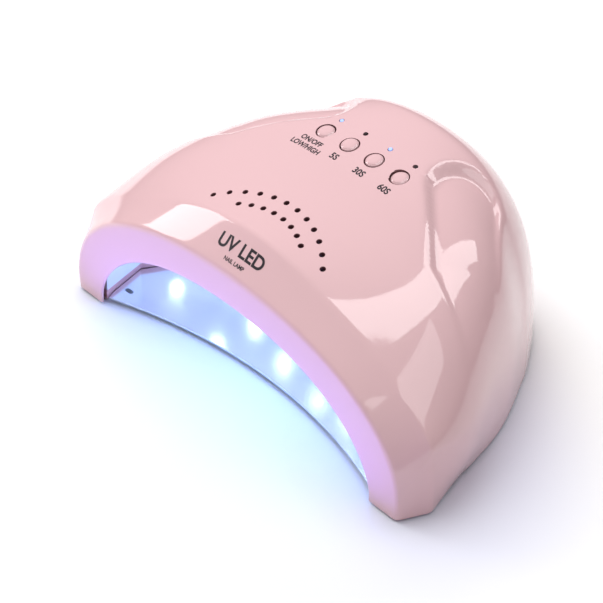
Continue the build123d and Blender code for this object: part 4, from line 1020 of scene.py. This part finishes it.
class LAMP_OT_stage(bpy.types.Operator):
    """Set the floor, the soft studio lights and the camera"""
    bl_idname = "lamp.stage"
    bl_label = "Stage"

    def execute(self, context):
        scene = context.scene
        settings = scene.lamp_stage
        mesh = bpy.data.meshes.new("floor")
        far = 6.0
        mesh.from_pydata([(-far, -far, 0), (far, -far, 0), (far, far, 0), (-far, far, 0)], [], [(0, 1, 2, 3)])
        mesh.materials.append(floor_material(tuple(settings.floor_colour)))
        floor = bpy.data.objects.new("floor", mesh)
        context.collection.objects.link(floor)
        world = bpy.data.worlds.new("Studio")
        world.use_nodes = True
        way = put(world.node_tree, "ShaderNodeTexCoord")
        upward = put(world.node_tree, "ShaderNodeSeparateXYZ", {"Vector": way.outputs["Generated"]})
        sky = put(world.node_tree, "ShaderNodeMapRange", {"Value": upward.outputs["Z"], "From Min": 0.0, "From Max": 1.0,
                                                         "To Min": settings.horizon, "To Max": settings.sky})
        background = world.node_tree.nodes["Background"]
        background.inputs["Color"].default_value = (1.0, 1.0, 1.0, 1.0)
        world.node_tree.links.new(sky.outputs[0], background.inputs["Strength"])
        scene.world = world
        white = (1.0, 0.995, 0.99)
        long_box = area_light("Long softbox", (0.29, 0.81, 1.55), -9.5, (0.45, 2.5), settings.long_box, white)
        square_box = area_light("Square softbox", (0.98, -0.45, 1.55), 12.0, (0.85, 1.2), settings.square_box, white)
        long_box.visible_diffuse = square_box.visible_diffuse = False
        left = area_light("Left softbox", (-1.35, -0.55, 0.68), 0.0, (0.5, 0.4), settings.left_box, white)
        left.rotation_quaternion = (-left.location).to_track_quat("-Z", "Y")
        glow = tuple(context.scene.lamp_finish.light_colour)
        area_light("Chamber", (0, -0.01, 0.046), 0.0, (0.14, 0.07), settings.led, glow).visible_glossy = False
        fill = area_light("Fill", (-0.9, 0.1, 1.9), 0.0, (2.0, 2.0), settings.fill, white)
        fill.rotation_quaternion = fill.location.to_track_quat("Z", "Y")
        fill.visible_glossy = False
        violet = tuple(context.scene.lamp_finish.spill_colour)
        spill = area_light("Spill", (0.0, -0.115, 0.003), 0.0, (0.2, 0.06), settings.spill, violet)
        spill.rotation_quaternion = Quaternion((1, 0, 0), pi)
        spill.visible_glossy = spill.visible_camera = False
        eye = bpy.data.cameras.new("Camera")
        eye.lens = CAMERA_LENS
        eye.sensor_width = 36.0
        eye.clip_start = 0.01
        camera = bpy.data.objects.new("Camera", eye)
        back = Vector((sin(CAMERA_AZIMUTH) * cos(CAMERA_ELEVATION), -cos(CAMERA_AZIMUTH) * cos(CAMERA_ELEVATION),
                       sin(CAMERA_ELEVATION)))
        camera.location = CAMERA_AIM + back * CAMERA_DISTANCE
        camera.rotation_mode = "QUATERNION"
        camera.rotation_quaternion = (-back).to_track_quat("-Z", "Y")
        context.collection.objects.link(camera)
        scene.camera = camera
        scene.view_settings.view_transform = "Standard"
        return {"FINISHED"}


class LAMP_PT_builder(bpy.types.Panel):
    """Sizes, colours and steps of the nail lamp"""
    bl_idname = "LAMP_PT_builder"
    bl_label = "Nail Lamp"
    bl_space_type = "VIEW_3D"
    bl_region_type = "UI"
    bl_category = "Nail Lamp"

    def draw(self, context):
        for settings in (context.scene.lamp_finish, context.scene.lamp_cover, context.scene.lamp_stage):
            box = self.layout.box()
            for name in settings.__annotations__:
                box.prop(settings, name)
        for operator in OPERATORS:
            self.layout.operator(operator.bl_idname)


SETTINGS = (("lamp_cover", LampCoverSettings), ("lamp_finish", LampFinishSettings),
            ("lamp_stage", LampStageSettings))
OPERATORS = (LAMP_OT_finishes, LAMP_OT_cover, LAMP_OT_buttons, LAMP_OT_indicators, LAMP_OT_screws, LAMP_OT_legends,
             LAMP_OT_stage)


def register():
    for name, group in SETTINGS:
        bpy.utils.register_class(group)
        setattr(bpy.types.Scene, name, bpy.props.PointerProperty(type=group))
    for cls in (*OPERATORS, LAMP_PT_builder):
        bpy.utils.register_class(cls)


def unregister():
    for cls in reversed((*OPERATORS, LAMP_PT_builder)):
        bpy.utils.unregister_class(cls)
    for name, group in reversed(SETTINGS):
        delattr(bpy.types.Scene, name)
        bpy.utils.unregister_class(group)


def main():
    register()
    bpy.ops.lamp.finishes()
    bpy.ops.lamp.cover()
    bpy.ops.lamp.buttons()
    bpy.ops.lamp.indicators()
    bpy.ops.lamp.screws()
    bpy.ops.lamp.legends()
    bpy.ops.lamp.stage()
    bpy.context.view_layer.update()


if __name__ == "__main__":
    main()
